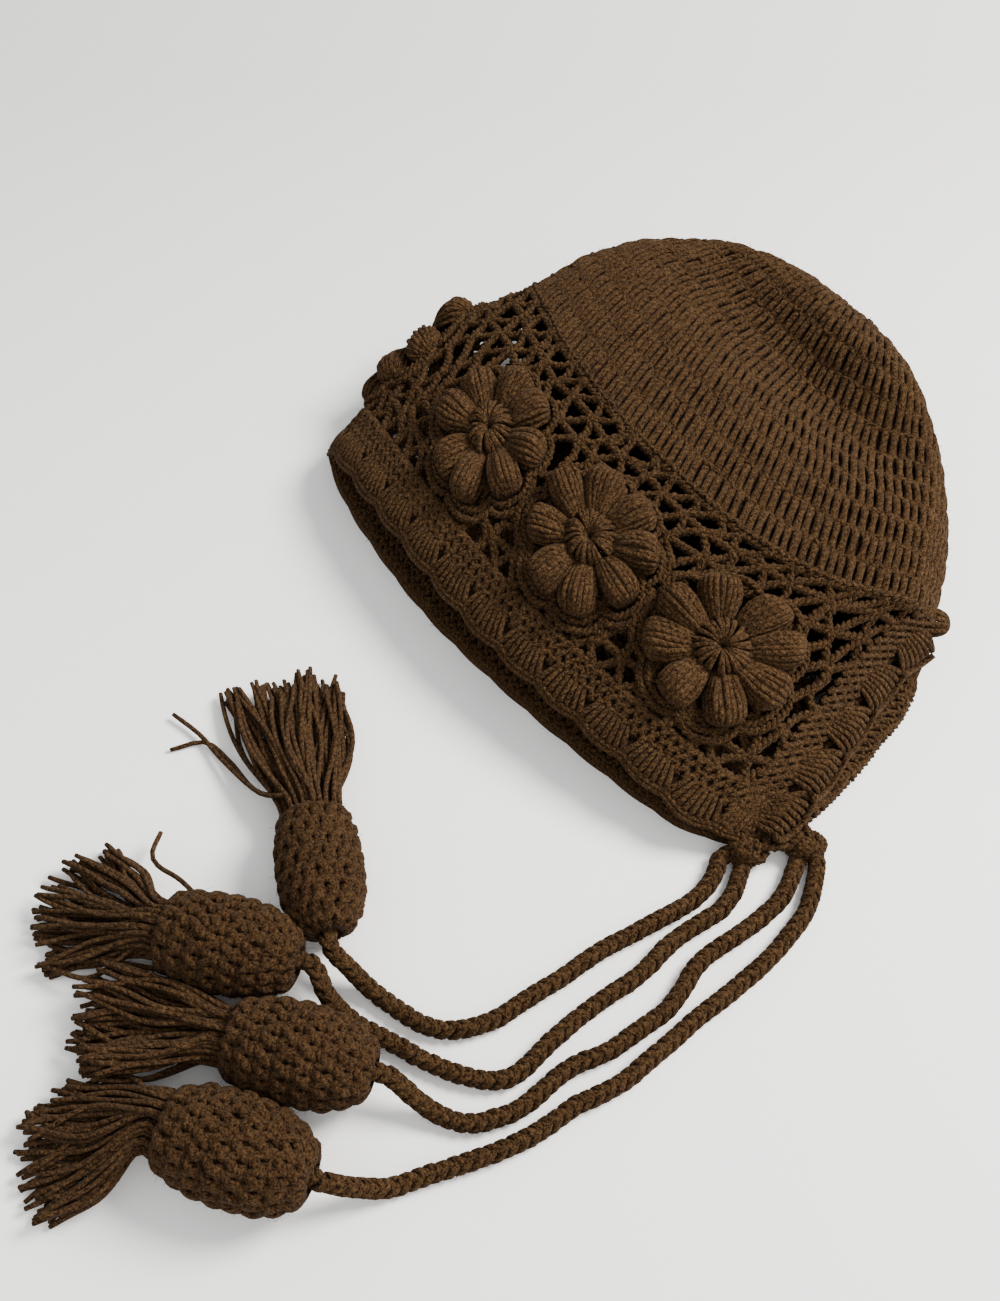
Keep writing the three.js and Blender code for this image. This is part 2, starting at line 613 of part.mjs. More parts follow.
const flowerArcs = [0, ...FLOWER_ARCS, ...FLOWER_ARCS.map((arc) => -arc)];
addPiece("crown", crown());
addPiece("band", band(flowerArcs.map((arc) => outerFace(angleAt(arc), FLOWER_ROW))));
addPiece("border", border());
addPiece("flower_forehead", flower(0, FLOWER.height, FLOWER.foldSeat));
FLOWER_ARCS.forEach((arc, k) => {
  addPiece(`flower_upper_${k + 1}`, flower(arc, FLOWER.height, FLOWER.seat));
  addPiece(`flower_under_${k + 1}`, flower(-arc, FLOWER.underHeight, FLOWER.seat));
});
for (const { name, x, y, z, turn } of KNOTS) {
  const mesh = addPiece(name, knot());
  mesh.position.set(x, y, z);
  mesh.rotation.z = turn * RAD;
}
TASSELS.forEach(({ route, tieEnd, heading, barrel: size, locks }, k) => {
  const number = k + 1;
  const ahead = new THREE.Vector3(Math.cos(heading * RAD), Math.sin(heading * RAD), 0);
  const middle = new THREE.Vector3(tieEnd[0], tieEnd[1], size.radius);
  addPiece(`tie_${number}`, tie(route, middle.clone().addScaledVector(ahead, -TIE_GAP), ahead));
  const body = addPiece(`barrel_${number}`, barrel(size));
  body.position.copy(middle);
  body.rotation.z = (heading - 90) * RAD;
  addPiece(`fringe_${number}`, fringe(middle.clone().addScaledVector(ahead, size.length), heading, locks));
});

export default hat;
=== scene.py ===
# A crocheted bonnet-shaped hat on its side: every stitch, braid and fringe strand is a tube of yarn
# laid over the shape of the hat's wall. The hat's tables are in millimetres, and pieces are made in metres.
# A place on the wall is an angle round the hat and a station: -1 at the face edge, 0 where the crown begins
# and 1 at the crown's closing point.
import math

import bpy
import numpy as np
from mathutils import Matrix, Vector


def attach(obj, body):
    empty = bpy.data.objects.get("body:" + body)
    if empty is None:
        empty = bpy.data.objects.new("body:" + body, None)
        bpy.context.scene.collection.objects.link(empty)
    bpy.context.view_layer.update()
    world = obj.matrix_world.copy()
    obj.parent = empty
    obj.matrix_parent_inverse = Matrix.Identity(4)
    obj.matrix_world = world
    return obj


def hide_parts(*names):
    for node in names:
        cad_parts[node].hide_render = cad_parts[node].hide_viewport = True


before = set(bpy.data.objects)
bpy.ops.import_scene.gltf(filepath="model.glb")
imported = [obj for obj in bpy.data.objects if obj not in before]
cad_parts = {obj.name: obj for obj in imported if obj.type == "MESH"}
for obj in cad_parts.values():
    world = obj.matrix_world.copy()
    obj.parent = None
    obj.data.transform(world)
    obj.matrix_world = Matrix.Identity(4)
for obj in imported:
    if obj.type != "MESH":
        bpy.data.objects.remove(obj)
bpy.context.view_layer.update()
RANDOM = np.random.default_rng(11)

# Shape of the hat's wall
MM = 0.001
HAT_MIDDLE = (-4.5, 87.2)
WALL = 4.0
STRIP_WIDTH = 112.0
BORDER_TOP = -0.82
FLAT_ROUNDS = 0.56
FLAT_PLAN = 0.66
POLE = (-8.0, 205.0, 34.0)
CLOSING = 0.985
# The under layer's neck edge stays below this height past this angle
NECK_HEIGHT = 6.0
LOW_NECK_ANGLE = -150
# Steps of angle and station that give the wall's directions
PROBE = (1.5, 0.012)
# The soft dent that runs over the crown's upper layer
VALLEY = {
    "depth": 16.0, "round": 0.42, "round_spread": 0.14, "slope": 0.07, "angle": 106.0, "angle_spread": 52.0,
    "fade": 50.0,
}

# Rounds of tall stitches, rows and columns of the mesh, and the flowers' places along their row
FLAT_ROWS = 9
ROUND_ROWS = 6
STITCH = 4.05
POST_LEAN = -0.6
NET_ROWS = 8
NET_COLUMNS = 46
NET_LINES = (0, 1, 2, 6, 7, 8)
FLOWER_ROW = -0.47
FLOWER_ARCS = (101.0, 171.0, 239.0)

# Plan curves of the flattened hat: x, y
FOREHEAD_FOLD = [(-136, -4), (-142, 27), (-145, 48), (-146, 85), (-140, 106), (-133, 124)]
JOINT_LINE = [
    (-133, 124), (-118, 110), (-77, 87), (-36, 73), (3, 66), (36, 63), (63, 66), (86, 75), (105, 92),
    (118, 108),
]
FACE_UPPER = [(-136, -4), (-92, -16), (-29, -28), (16, -31), (80, -28), (108, -23), (127, -7)]
FACE_UNDER = [(-136, -4), (-96, -16), (-42, -26), (18, -28), (80, -25), (105, -20), (127, -7)]
NECK_UPPER = [(127, -7), (125, 17), (121, 44), (116, 72), (115, 93), (118, 108)]
NECK_UNDER = [(127, -7), (131, 14), (131, 41), (129, 59), (127, 79), (118, 108)]
CROWN_FRONT = [
    (-133, 124), (-129, 149), (-122, 165), (-112, 179), (-85, 198), (-46, 207), (-27, 208), (-8, 205),
]
CROWN_BACK = [(118, 108), (100, 139), (75, 166), (42, 188), (25, 196), (9, 202), (-8, 205)]

# Heights of the outer face: a column for each angle round a layer, a row for each station
ANGLES = [0, 15, 30, 60, 90, 120, 150, 165, 180]
UPPER_HEIGHTS = {
    -1: [12, 20, 27, 33, 32, 26, 14, 10, 9],
    -0.82: [14, 24, 32, 41, 41, 34, 19, 13, 11],
    -0.5: [18, 30, 40, 52, 54, 48, 30, 19, 13],
    -0.2: [21, 34, 45, 57, 60, 56, 40, 26, 16],
    0: [24, 37, 48, 60, 63, 60, 46, 31, 18],
    0.3: [28, 42, 53, 65, 69, 68, 56, 42, 24],
    0.56: [31, 45, 56, 67, 71, 71, 60, 47, 29],
}
UNDER_HEIGHTS = {
    -1: [12, 5, 1, 0, 0, 0, 0, 0.4, 0.6],
    -0.82: [14, 9, 7, 7, 7, 7, 5, 3, 2],
    -0.5: [18, 11, 8, 8, 8, 8, 7, 5, 3],
    -0.2: [21, 13, 8, 7, 7, 7, 7, 5, 4],
    0: [24, 14, 6, 0, 0, 0, 4, 10, 18],
    0.3: [28, 16, 6, 0, 0, 0, 4, 12, 24],
    0.56: [31, 17, 6, 0, 0, 0, 5, 14, 29],
}

# The ties and their barrels: route in hat millimetres, the barrel's tie end, its heading, length and radius
TIE = 7.2
TIE_HEIGHT = TIE / 2 + 0.2
TIE_GAP = 0.4
TIE_LEVEL = 6.0
TIE_RISE = 26.0
TASSELS = [
    {
        "route": [
            (120, -24.3), (124, -35), (124, -46), (121, -58), (117, -73), (113, -88), (111, -103),
            (108, -116), (106, -128), (102, -138), (96, -146), (88, -151), (76, -154), (65, -156),
            (56, -157.5),
        ],
        "root": (122.6, -19.0), "tie_end": (42.4, -154.8), "heading": 147.0, "length": 48.0, "radius": 15.6,
        "locks": [(-13, 66, 4), (-5, 72, 6), (4, 68, 4), (13, 70, 6), (21, 74, 4)],
        "strays": [
            [(-9.9, -131.7, 20), (-22, -136.6, 12), (-47, -136.4, 5), (-63.5, -135.3, 3), (-79, -137.3, 3)],
            [
                (-9.9, -132.1, 18), (-24.7, -136.5, 10), (-44.6, -134.5, 4), (-60, -135.7, 2),
                (-67.2, -148, 1.5),
            ],
            [(-7.6, -126.2, 20), (-22, -106.3, 12), (-34.6, -93.2, 7), (-45.9, -77.5, 5)],
        ],
    },
    {
        "route": [
            (128.3, -21.4), (134, -36), (132.5, -48), (130, -61), (130, -71), (130, -82), (128, -93),
            (126, -107), (125, -119), (125, -129), (125, -137), (122, -145), (115, -151), (106, -156),
            (96, -160), (86, -163), (76, -166.5), (66, -169), (57, -169.5),
        ],
        "root": (126.2, -17.0), "tie_end": (43.4, -170.2), "heading": -147.6, "length": 50.0, "radius": 17.0,
        "locks": [(-36, 50, 4), (-18, 56, 5), (-2, 54, 4), (12, 52, 4), (25, 48, 4)],
        "strays": [
            [(3.8, -181, 18), (-12, -181.2, 15), (-24.9, -183.1, 10), (-31.3, -181.4, 9), (-36.6, -173.5, 8)],
        ],
    },
    {
        "route": [
            (141.6, -4.8), (146.5, -18), (147, -28), (146, -38), (144, -49), (142.5, -59), (143, -67),
            (145, -75), (146, -84), (144.5, -93), (143, -103), (141, -112), (137, -121), (135.5, -130),
            (135, -138), (134, -147), (131, -154), (127, -161), (121, -166), (112, -170),
        ],
        "root": (138.8, 0.6), "tie_end": (92.2, -177), "heading": -147.7, "length": 51.0, "radius": 16.8,
        "locks": [(-14, 56, 14), (-4, 60, 12), (6, 60, 8), (15, 58, 8), (25, 52, 13)],
        "strays": [],
    },
    {
        "route": [
            (147.1, 0.7), (155.5, -14), (158, -25), (159, -36), (159, -47), (158, -58), (157, -68),
            (155.5, -79), (155, -90), (154, -101), (153, -112), (150.5, -122), (147, -131), (145.5, -140),
            (143.5, -150), (140, -160), (136, -169), (131, -179), (126, -189), (121, -199),
        ],
        "root": (142.0, 4.0), "tie_end": (104.4, -214.6), "heading": -152.5, "length": 52.0, "radius": 17.8,
        "locks": [(-4, 43, 4), (8, 51, 4), (20, 53, 5), (36, 54, 4), (50, 50, 4)],
        "strays": [],
    },
]

# The knots at the ear points, with the strands that come to them from the border
KNOTS = [
    {
        "node": "ear_knot_under", "middle": (125.5, -16.1, 5.9), "turn": 38,
        "links": [
            [(119, -8, 9), (121, -14, 10), (124, -19, 7)],
            [(128, -6, 9), (129, -11, 10), (128, -18, 7)],
            [(126, -15, 9), (132, -9, 9), (138, -1, 8)],
            [(124, -12, 6), (131, -6, 7), (137, 3, 7)],
        ],
    },
    {
        "node": "ear_knot_upper", "middle": (139.7, 2.2, 5.9), "turn": 55,
        "links": [
            [(128, 4, 4), (133, 3, 8), (139, 1, 9)],
            [(130, 11, 4), (134, 8, 7), (140, 5, 9)],
        ],
    },
]
# Sizes of knots, bobble, barrels, fringes and braids
KNOT = {"half_axes": (8.6, 5.4, 5.2), "windings": 11, "wound_at": 0.84, "lowest": 1.4}
NAPE = {"middle": (113.0, 109.5, 21.5), "long": 8.4, "wide": 5.8, "high": 5.0}
BARREL_ROWS = 8
MOUTH = 10.0
FRINGE_STRANDS = 96
FRINGE_RADIUS = 1.03
FRINGE_LOWEST = 1.2
BRAID = {"pitch": 4.3, "reach": 8.6, "radius": 2.55, "first_turn": -26, "wrap": 215}
BARREL = {
    "tie_end": 5.2, "fringe_end": 10.5, "fullness": 2.1, "body": (1.35, 3.8), "stitch": 5.5, "puff": 2.0,
}

# Strands of yarn: half width, half height and sides of their tubes
STRANDS = {
    "head": (1.1, 0.85, 4),
    "petal": (1.25, 1.05, 5),
    "petal_tip": (1.2, 1.05, 5),
    "edge": (1.25, 1.15, 5),
    "neck_edge": (1.5, 1.4, 5),
    "braid_leg": (1.65, 1.1, 6),
    "bobble": (1.3, 1.15, 6),
}
FIBRE_RADIUS = 0.055
UP = np.array([0.0, 0.0, 1.0])


def metres(points):
    """Points of the hat's own millimetres in the metres of the frame."""
    moved = np.array(points, float)
    moved[..., 0] -= HAT_MIDDLE[0]
    moved[..., 1] -= HAT_MIDDLE[1]
    return moved * MM


# Curves


def spline(points, samples=24):
    """A smooth curve through points."""
    points = np.asarray(points, float)
    ends = np.vstack([2 * points[0] - points[1], points, 2 * points[-1] - points[-2]])
    pieces = []
    t = np.linspace(0, 1, samples, endpoint=False)[:, None]
    for a, b, c, d in zip(ends[:-3], ends[1:-2], ends[2:-1], ends[3:]):
        cubic = -a + 3 * b - 3 * c + d
        pieces.append(0.5 * (2 * b + (c - a) * t + (2 * a - 5 * b + 4 * c - d) * t**2 + cubic * t**3))
    return np.vstack(pieces + [points[-1:]])


def way_along(points):
    """Length of the way along a line to each of its points."""
    steps = np.linalg.norm(np.diff(points, axis=0), axis=1)
    return np.concatenate([[0.0], np.cumsum(steps)])


def along(points, count):
    """The same line with count points evenly spaced along it."""
    way = way_along(points)
    wanted = np.linspace(0, way[-1], count)
    return np.stack([np.interp(wanted, way, points[:, k]) for k in range(points.shape[1])], 1)


def plan_curve(points):
    """A plan curve that is asked for by its share of the length."""
    line = along(spline(points), 401)
    last = len(line) - 1

    def at(share):
        index = np.clip(share, 0, 1) * last
        return np.stack([np.interp(index, np.arange(last + 1), line[:, k]) for k in (0, 1)], -1)

    return at


forehead_fold = plan_curve(FOREHEAD_FOLD)
joint_line = plan_curve(JOINT_LINE)
crown_front = plan_curve(CROWN_FRONT)
crown_back = plan_curve(CROWN_BACK)
UPPER = {"face": plan_curve(FACE_UPPER), "neck": plan_curve(NECK_UPPER), "heights": UPPER_HEIGHTS}
UNDER = {"face": plan_curve(FACE_UNDER), "neck": plan_curve(NECK_UNDER), "heights": UNDER_HEIGHTS}


def entries(table, index):
    """Entries of a list, or of a table of columns with an index for each of them."""
    return table[index] if table.ndim == 1 else np.take_along_axis(table, index[None], 0)[0]


def smooth_rows(positions, values, at):
    """Smooth values between the rows of a table; values has a row for each position."""
    x = np.asarray(positions, float)
    at = np.clip(at, x[0], x[-1])
    low = np.maximum(0, np.arange(len(x)) - 1)
    high = np.minimum(len(x) - 1, np.arange(len(x)) + 1)
    spans = (x[high] - x[low]).reshape((-1,) + (1,) * (values.ndim - 1))
    slopes = (values[high] - values[low]) / spans
    i = np.clip(np.searchsorted(x, at, side="right") - 1, 0, len(x) - 2)
    span = x[i + 1] - x[i]
    t = (at - x[i]) / span
    rise = entries(values, i) * (2 * t**3 - 3 * t**2 + 1) + entries(values, i + 1) * (3 * t**2 - 2 * t**3)
    return rise + span * (entries(slopes, i) * (t**3 - 2 * t**2 + t) + entries(slopes, i + 1) * (t**3 - t**2))


# The wall's outer face


def crown_advance(rounds):
    """Share of the way in plan to the closing point, and share of the height kept."""
    turn = np.clip((rounds - FLAT_ROUNDS) / (1 - FLAT_ROUNDS), 0, 1) * math.pi / 2
    plan = np.where(
        rounds < FLAT_ROUNDS, FLAT_PLAN * rounds / FLAT_ROUNDS, FLAT_PLAN + (1 - FLAT_PLAN) * np.sin(turn)
    )
    return plan, np.cos(turn)


def strip_plan(layer, across, station):
    """Plan place on the band strip."""
    up = (station + 1)[..., None]
    side = across[..., None]
    face, neck = layer["face"], layer["neck"]
    point = (1 - up) * face(across) + up * joint_line(across)
    point = point + (1 - side) * forehead_fold(station + 1) + side * neck(station + 1)
    point = point - (1 - side) * (1 - up) * face(0.0) - side * (1 - up) * face(1.0)
    return point - (1 - side) * up * joint_line(0.0) - side * up * joint_line(1.0)


def crown_plan(across, rounds):
    """Plan place on the crown."""
    plan, _ = crown_advance(rounds)
    plan = plan[..., None]
    side = across[..., None]
    pole = np.array(POLE[:2])

    def toward(point):
        return point * (1 - plan) + pole * plan

    point = toward(joint_line(across))
    point = point + (1 - side) * (crown_front(rounds) - toward(joint_line(0.0)))
    return point + side * (crown_back(rounds) - toward(joint_line(1.0)))


def layer_face(layer, turn, station, dented):
    """Outer face of one layer, turn in degrees from the forehead fold to the nape."""
    across = (1 - np.cos(np.radians(turn))) / 2
    strip = strip_plan(layer, across, np.clip(station, -1, 0))
    crown = crown_plan(across, np.clip(station, 0, 1))
    plan = np.where((station < 0)[..., None], strip, crown)
    stations = list(layer["heights"])
    columns = np.stack([smooth_rows(ANGLES, np.array(row, float), turn) for row in layer["heights"].values()])
    height = smooth_rows(stations, columns, np.minimum(station, FLAT_ROUNDS))
    _, rise = crown_advance(np.clip(station, 0, 1))
    z = np.maximum(0, POLE[2] + (height - POLE[2]) * rise)
    if dented:
        aside = (turn - VALLEY["angle"]) / VALLEY["angle_spread"]
        middle = VALLEY["round"] - VALLEY["slope"] * np.clip(aside, -1.0, 1.5)
        near_round = np.exp(-(((station - middle) / VALLEY["round_spread"]) ** 2))
        near_angle = np.exp(-(aside**2)) * np.clip(np.minimum(turn, 180 - turn) / VALLEY["fade"], 0, 1)
        z = z - VALLEY["depth"] * near_round * near_angle
    return np.concatenate([plan, z[..., None]], -1)


def outer_face(angle, station):
    """Outer face: angle 0 at the forehead fold, 180 at the nape over the upper layer, -180 over the other."""
    angle, station = np.broadcast_arrays(np.asarray(angle, float), np.asarray(station, float))
    turn = np.abs(angle)
    upper = layer_face(UPPER, turn, station, True)
    under = layer_face(UNDER, turn, station, False)
    return np.where((angle >= 0)[..., None], upper, under)


def place(angle, station):
    """Outer face with its directions: out of it, round the hat and toward the crown's closing point."""
    angle, station = np.broadcast_arrays(np.asarray(angle, float), np.asarray(station, float))
    turn, step = PROBE

    def wrap(value):
        return np.where(station < 0, np.clip(value, -180, 180), (value + 180) % 360 - 180)

    around = unit(outer_face(wrap(angle + turn), station) - outer_face(wrap(angle - turn), station))
    high = np.minimum(station + step, 1)
    low = np.clip(station - step, -1, CLOSING)
    toward = outer_face(angle, high) - outer_face(angle, low)
    out = unit(np.cross(around, toward))
    point = outer_face(angle, station)
    low_neck = (station < 0) & (angle < LOW_NECK_ANGLE)
    point[..., 2] = np.where(low_neck, np.minimum(point[..., 2], NECK_HEIGHT), point[..., 2])
    return point, out, around, np.cross(out, around)


def unit(vectors):
    return vectors / np.maximum(np.linalg.norm(vectors, axis=-1, keepdims=True), 1e-9)


TABLE_ANGLES = np.linspace(-180, 180, 721)


def loop_table(station):
    """Length along the hat's loop at a station, for each angle of the table."""
    return way_along(outer_face(TABLE_ANGLES, np.full(len(TABLE_ANGLES), station)))


LOOP_STATIONS = np.concatenate([np.linspace(-1, 0, 41), np.linspace(0.01, CLOSING, 60)])
LOOP_TABLES = np.stack([loop_table(station) for station in LOOP_STATIONS])
LOOP_LENGTHS = LOOP_TABLES[:, -1]
SHARES = np.linspace(0, 1, 361)
SHARE_ANGLES = np.stack([np.interp(SHARES, table / table[-1], TABLE_ANGLES) for table in LOOP_TABLES])


def loop_length(station):
    return np.interp(station, LOOP_STATIONS, LOOP_LENGTHS)


def angle_at(share, station):
    """Angle at a share of the loop's length, between the rows and columns of the table."""
    share, station = np.broadcast_arrays(np.asarray(share, float), np.asarray(station, float))
    row = np.interp(station, LOOP_STATIONS, np.arange(len(LOOP_STATIONS)))
    column = np.clip(share, 0, 1) * (len(SHARES) - 1)
    i = np.minimum(row.astype(int), len(LOOP_STATIONS) - 2)
    k = np.minimum(column.astype(int), len(SHARES) - 2)
    down, across = row - i, column - k
    low = SHARE_ANGLES[i, k] * (1 - across) + SHARE_ANGLES[i, k + 1] * across
    high = SHARE_ANGLES[i + 1, k] * (1 - across) + SHARE_ANGLES[i + 1, k + 1] * across
    return low * (1 - down) + high * down


FLOWER_TABLE = loop_table(FLOWER_ROW)
FLOWER_ZERO = np.interp(0.0, TABLE_ANGLES, FLOWER_TABLE)


def angle_at_arc(arc):
    """Angle at a length along the flowers' row from the forehead fold."""
    return np.interp(FLOWER_ZERO + np.asarray(arc, float), FLOWER_TABLE, TABLE_ANGLES)


# Tubes of yarn


def tubes(paths, out, half_width, half_height, sides=6):
    """Closed tubes along paths, an array of tubes by points by 3. Their sections stand on out."""
    paths = np.asarray(paths, float)
    count, length, _ = paths.shape
    half_width = np.broadcast_to(half_width, (count, length))
    half_height = np.broadcast_to(half_height, (count, length))
    tangent = unit(np.gradient(paths, axis=1))
    side = unit(np.cross(tangent, np.broadcast_to(out, paths.shape)))
    up = np.cross(side, tangent)
    turn = 2 * math.pi * np.arange(sides) / sides
    ring = (
        side[:, :, None] * (half_width[..., None] * np.cos(turn))[..., None]
        + up[:, :, None] * (half_height[..., None] * np.sin(turn))[..., None]
    )
    points = (paths[:, :, None] + ring).reshape(-1, 3)
    steps = np.linalg.norm(np.diff(paths, axis=1), axis=2)
    way = np.concatenate([np.zeros((count, 1)), np.cumsum(steps, axis=1)], axis=1)
    start = RANDOM.random((count, 1)) * 40
    index = np.arange(count * length * sides).reshape(count, length, sides)
    a = index[:, :-1]
    b = np.roll(a, -1, axis=2)
    c = np.roll(index[:, 1:], -1, axis=2)
    d = index[:, 1:]
    quads = np.stack([a, b, c, d], -1).reshape(-1, 4)
    u = np.broadcast_to((way + start)[..., None], (count, length, sides))
    v = np.broadcast_to(np.arange(sides) / sides, (count, length, sides))
    v_next = np.broadcast_to((np.arange(sides) + 1) / sides, (count, length, sides))
    corners = [
        (u[:, :-1], v[:, :-1]), (u[:, :-1], v_next[:, :-1]), (u[:, 1:], v_next[:, 1:]), (u[:, 1:], v[:, 1:]),
    ]
    uv = np.stack([np.stack(pair, -1).reshape(-1, 2) for pair in corners], 1)
    caps = np.concatenate([index[:, 0, ::-1], index[:, -1]])
    cap_uv = np.full((len(caps), sides, 2), 0.5)
    return {"points": points, "faces": [(quads, uv), (caps, cap_uv)], "rings": (count, length, sides)}


def fuzz(strands, fibres_per_mm, longest=2.4):
    """Loose fibres that stand out of the outward side of strands."""
    count, length, sides = strands["rings"]
    rings = strands["points"].reshape(count, length, sides, 3)
    middles = rings.mean(2)
    yarn = np.linalg.norm(np.diff(middles, axis=1), axis=2).sum()
    amount = int(yarn * fibres_per_mm)
    tube = RANDOM.integers(0, count, amount)
    ring = RANDOM.integers(1, length - 1, amount)
    root = rings[tube, ring, RANDOM.integers(0, sides // 2 + 1, amount)]
    out = unit(root - middles[tube, ring])
    way = unit(0.8 * out + RANDOM.normal(0, 0.45, (amount, 3)))
    reach = RANDOM.uniform(0.3 * longest, longest, (amount, 1))
    bend = RANDOM.normal(0, 0.3, (amount, 3)) * reach
    paths = np.stack([root - 0.3 * out, root + 0.5 * reach * way, root + reach * way + bend], 1)
    paths[..., 2] = np.maximum(paths[..., 2], 0.1)
    return tubes(paths, np.array([0.3, 0.2, 0.93]), FIBRE_RADIUS, FIBRE_RADIUS, 3)


def sheet_grid(outer, inner, closed=False):
    """A closed shell between two grids of points, columns by rows by 3."""
    columns, rows, _ = outer.shape
    count = columns * rows
    index = np.arange(count).reshape(columns, rows)
    if closed:
        index = np.vstack([index, index[:1]])
    a, b, c, d = index[:-1, :-1], index[1:, :-1], index[1:, 1:], index[:-1, 1:]
    front = np.stack([a, b, c, d], -1).reshape(-1, 4)
    back = front[:, ::-1] + count
    walls = [(index[:, 0], False), (index[:, -1], True)]
    if not closed:
        walls += [(index[0], True), (index[-1], False)]
    sides = []
    for line, flip in walls:
        wall = np.stack([line[1:], line[:-1], line[:-1] + count, line[1:] + count], -1)
        sides.append(wall[:, ::-1] if flip else wall)
    quads = np.vstack([front, back] + sides)
    points = np.vstack([outer.reshape(-1, 3), inner.reshape(-1, 3)])
    uv = np.broadcast_to(points[quads][..., :2], quads.shape + (2,))
    return {"points": points, "faces": [(quads, uv)]}


def joined_mesh(name, parts):
    """One mesh of many closed parts, with the Yarn map."""
    points, loops, starts, sizes, uvs = [], [], [], [], []
    base, corner = 0, 0
    for part in parts:
        points.append(part["points"])
        for faces, uv in part["faces"]:
            if not len(faces):
                continue
            count, size = faces.shape
            loops.append((faces + base).ravel())
            starts.append(corner + size * np.arange(count))
            sizes.append(np.full(count, size))
            uvs.append(uv.reshape(-1, 2))
            corner += count * size
        base += len(part["points"])
    points = metres(np.vstack(points))
    starts = np.concatenate(starts).astype(np.int32)
    mesh = bpy.data.meshes.new(name)
    mesh.vertices.add(len(points))
    mesh.vertices.foreach_set("co", points.astype(np.float32).ravel())
    mesh.loops.add(corner)
    mesh.loops.foreach_set("vertex_index", np.concatenate(loops).astype(np.int32))
    mesh.polygons.add(len(starts))
    mesh.polygons.foreach_set("loop_start", starts)
    mesh.polygons.foreach_set("loop_total", np.concatenate(sizes).astype(np.int32))
    mesh.polygons.foreach_set("use_smooth", np.ones(len(starts), bool))
    layer = mesh.uv_layers.new(name="Yarn")
    layer.data.foreach_set("uv", np.vstack(uvs).astype(np.float32).ravel())
    mesh.update(calc_edges=True)
    mesh.validate()
    return mesh


def piece(name, parts, material, replaces=(), fibres_per_mm=0.0):
    """One object of many closed parts, riding on the hat."""
    if fibres_per_mm:
        parts = parts + [fuzz(part, fibres_per_mm) for part in parts if "rings" in part]
    made = bpy.data.objects.new(name, joined_mesh(name, parts))
    bpy.context.scene.collection.objects.link(made)
    made.data.materials.append(material)
    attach(made, "root")
    if replaces:
        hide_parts(*replaces)
    return made


def lifted(angle, station, height, sideways=0.0, onward=0.0):
    """Points over the outer face, moved out of it and along it."""
    point, out, around, toward = place(angle, station)
    moves = ((out, height), (around, sideways), (toward, onward))
    for way, reach in moves:
        point = point + way * (np.asarray(reach, float)[..., None] if np.ndim(reach) else reach)
    return point, out


def rope(line, out, radius, pitch, strands=2, per_turn=4, sides=4):
    """Strands twisted round a line, an array of points by 3."""
    steps = np.linalg.norm(np.diff(line, axis=0), axis=1)
    length = steps.sum()
    count = max(4, int(length / pitch * per_turn))
    even = along(np.hstack([line, np.broadcast_to(out, line.shape)]), count)
    middle, up = even[:, :3], unit(even[:, 3:])
    tangent = unit(np.gradient(middle, axis=0))
    side = unit(np.cross(tangent, up))
    up = np.cross(side, tangent)
    made = []
    offset = radius * 0.82
    phase = RANDOM.random() * 2 * math.pi
    for k in range(strands):
        turn = phase + 2 * math.pi * (np.linspace(0, length / pitch, count) + k / strands)
        made.append(middle + side * (offset * np.cos(turn))[:, None] + up * (offset * np.sin(turn))[:, None])
    return tubes(np.stack(made), np.stack([up] * strands), radius, radius, sides)


# Materials


def group_socket(group, name, kind, way, value=None):
    made = group.interface.new_socket(name=name, in_out=way, socket_type=kind)
    if value is not None:
        made.default_value = value


def calculator(nodes, links):
    """A function that adds a math node and gives its output."""

    def calculate(operation, *values):
        node = nodes.new("ShaderNodeMath")
        node.operation = operation
        for socket, value in zip(node.inputs, values):
            if isinstance(value, (int, float)):
                socket.default_value = value
            else:
                links.new(value, socket)
        return node.outputs[0]

    return calculate


def noise(nodes, links, place_socket, scale, detail):
    node = nodes.new("ShaderNodeTexNoise")
    node.inputs["Scale"].default_value = scale
    node.inputs["Detail"].default_value = detail
    links.new(place_socket, node.inputs["Vector"])
    return node.outputs[0]


WOOL_SOCKETS = [
    ("Dark", "NodeSocketColor", "INPUT", (0.02, 0.01, 0.005, 1)),
    ("Light", "NodeSocketColor", "INPUT", (0.1, 0.06, 0.03, 1)),
    ("Ply Length", "NodeSocketFloat", "INPUT", 3.0),
    ("Plies", "NodeSocketFloat", "INPUT", 3.0),
    ("Painted Flank Shade", "NodeSocketFloat", "INPUT", 0.4),
    ("Color", "NodeSocketColor", "OUTPUT", None),
    ("Height", "NodeSocketFloat", "OUTPUT", None),
]
# Noise sizes, and what each part of the yarn adds to its lightness and its bump
FIBRE = {"scale": 1500, "detail": 3, "light": 2.25, "bump": 1.4}
TUFT = {"scale": 620, "detail": 2, "light": 0.7, "bump": 0.9, "bend": 9.0}
PATCH = {"scale": 90, "detail": 2, "light": 0.3}
PLY = {"light": 0.24, "bump": 0.7}
BASE_LIGHT = -1.31
# Share of a strand's turn past which its flanks get painted shade, standing in for the shade between
# neighbouring stitches
PAINTED_SHADE_EDGE = 0.6


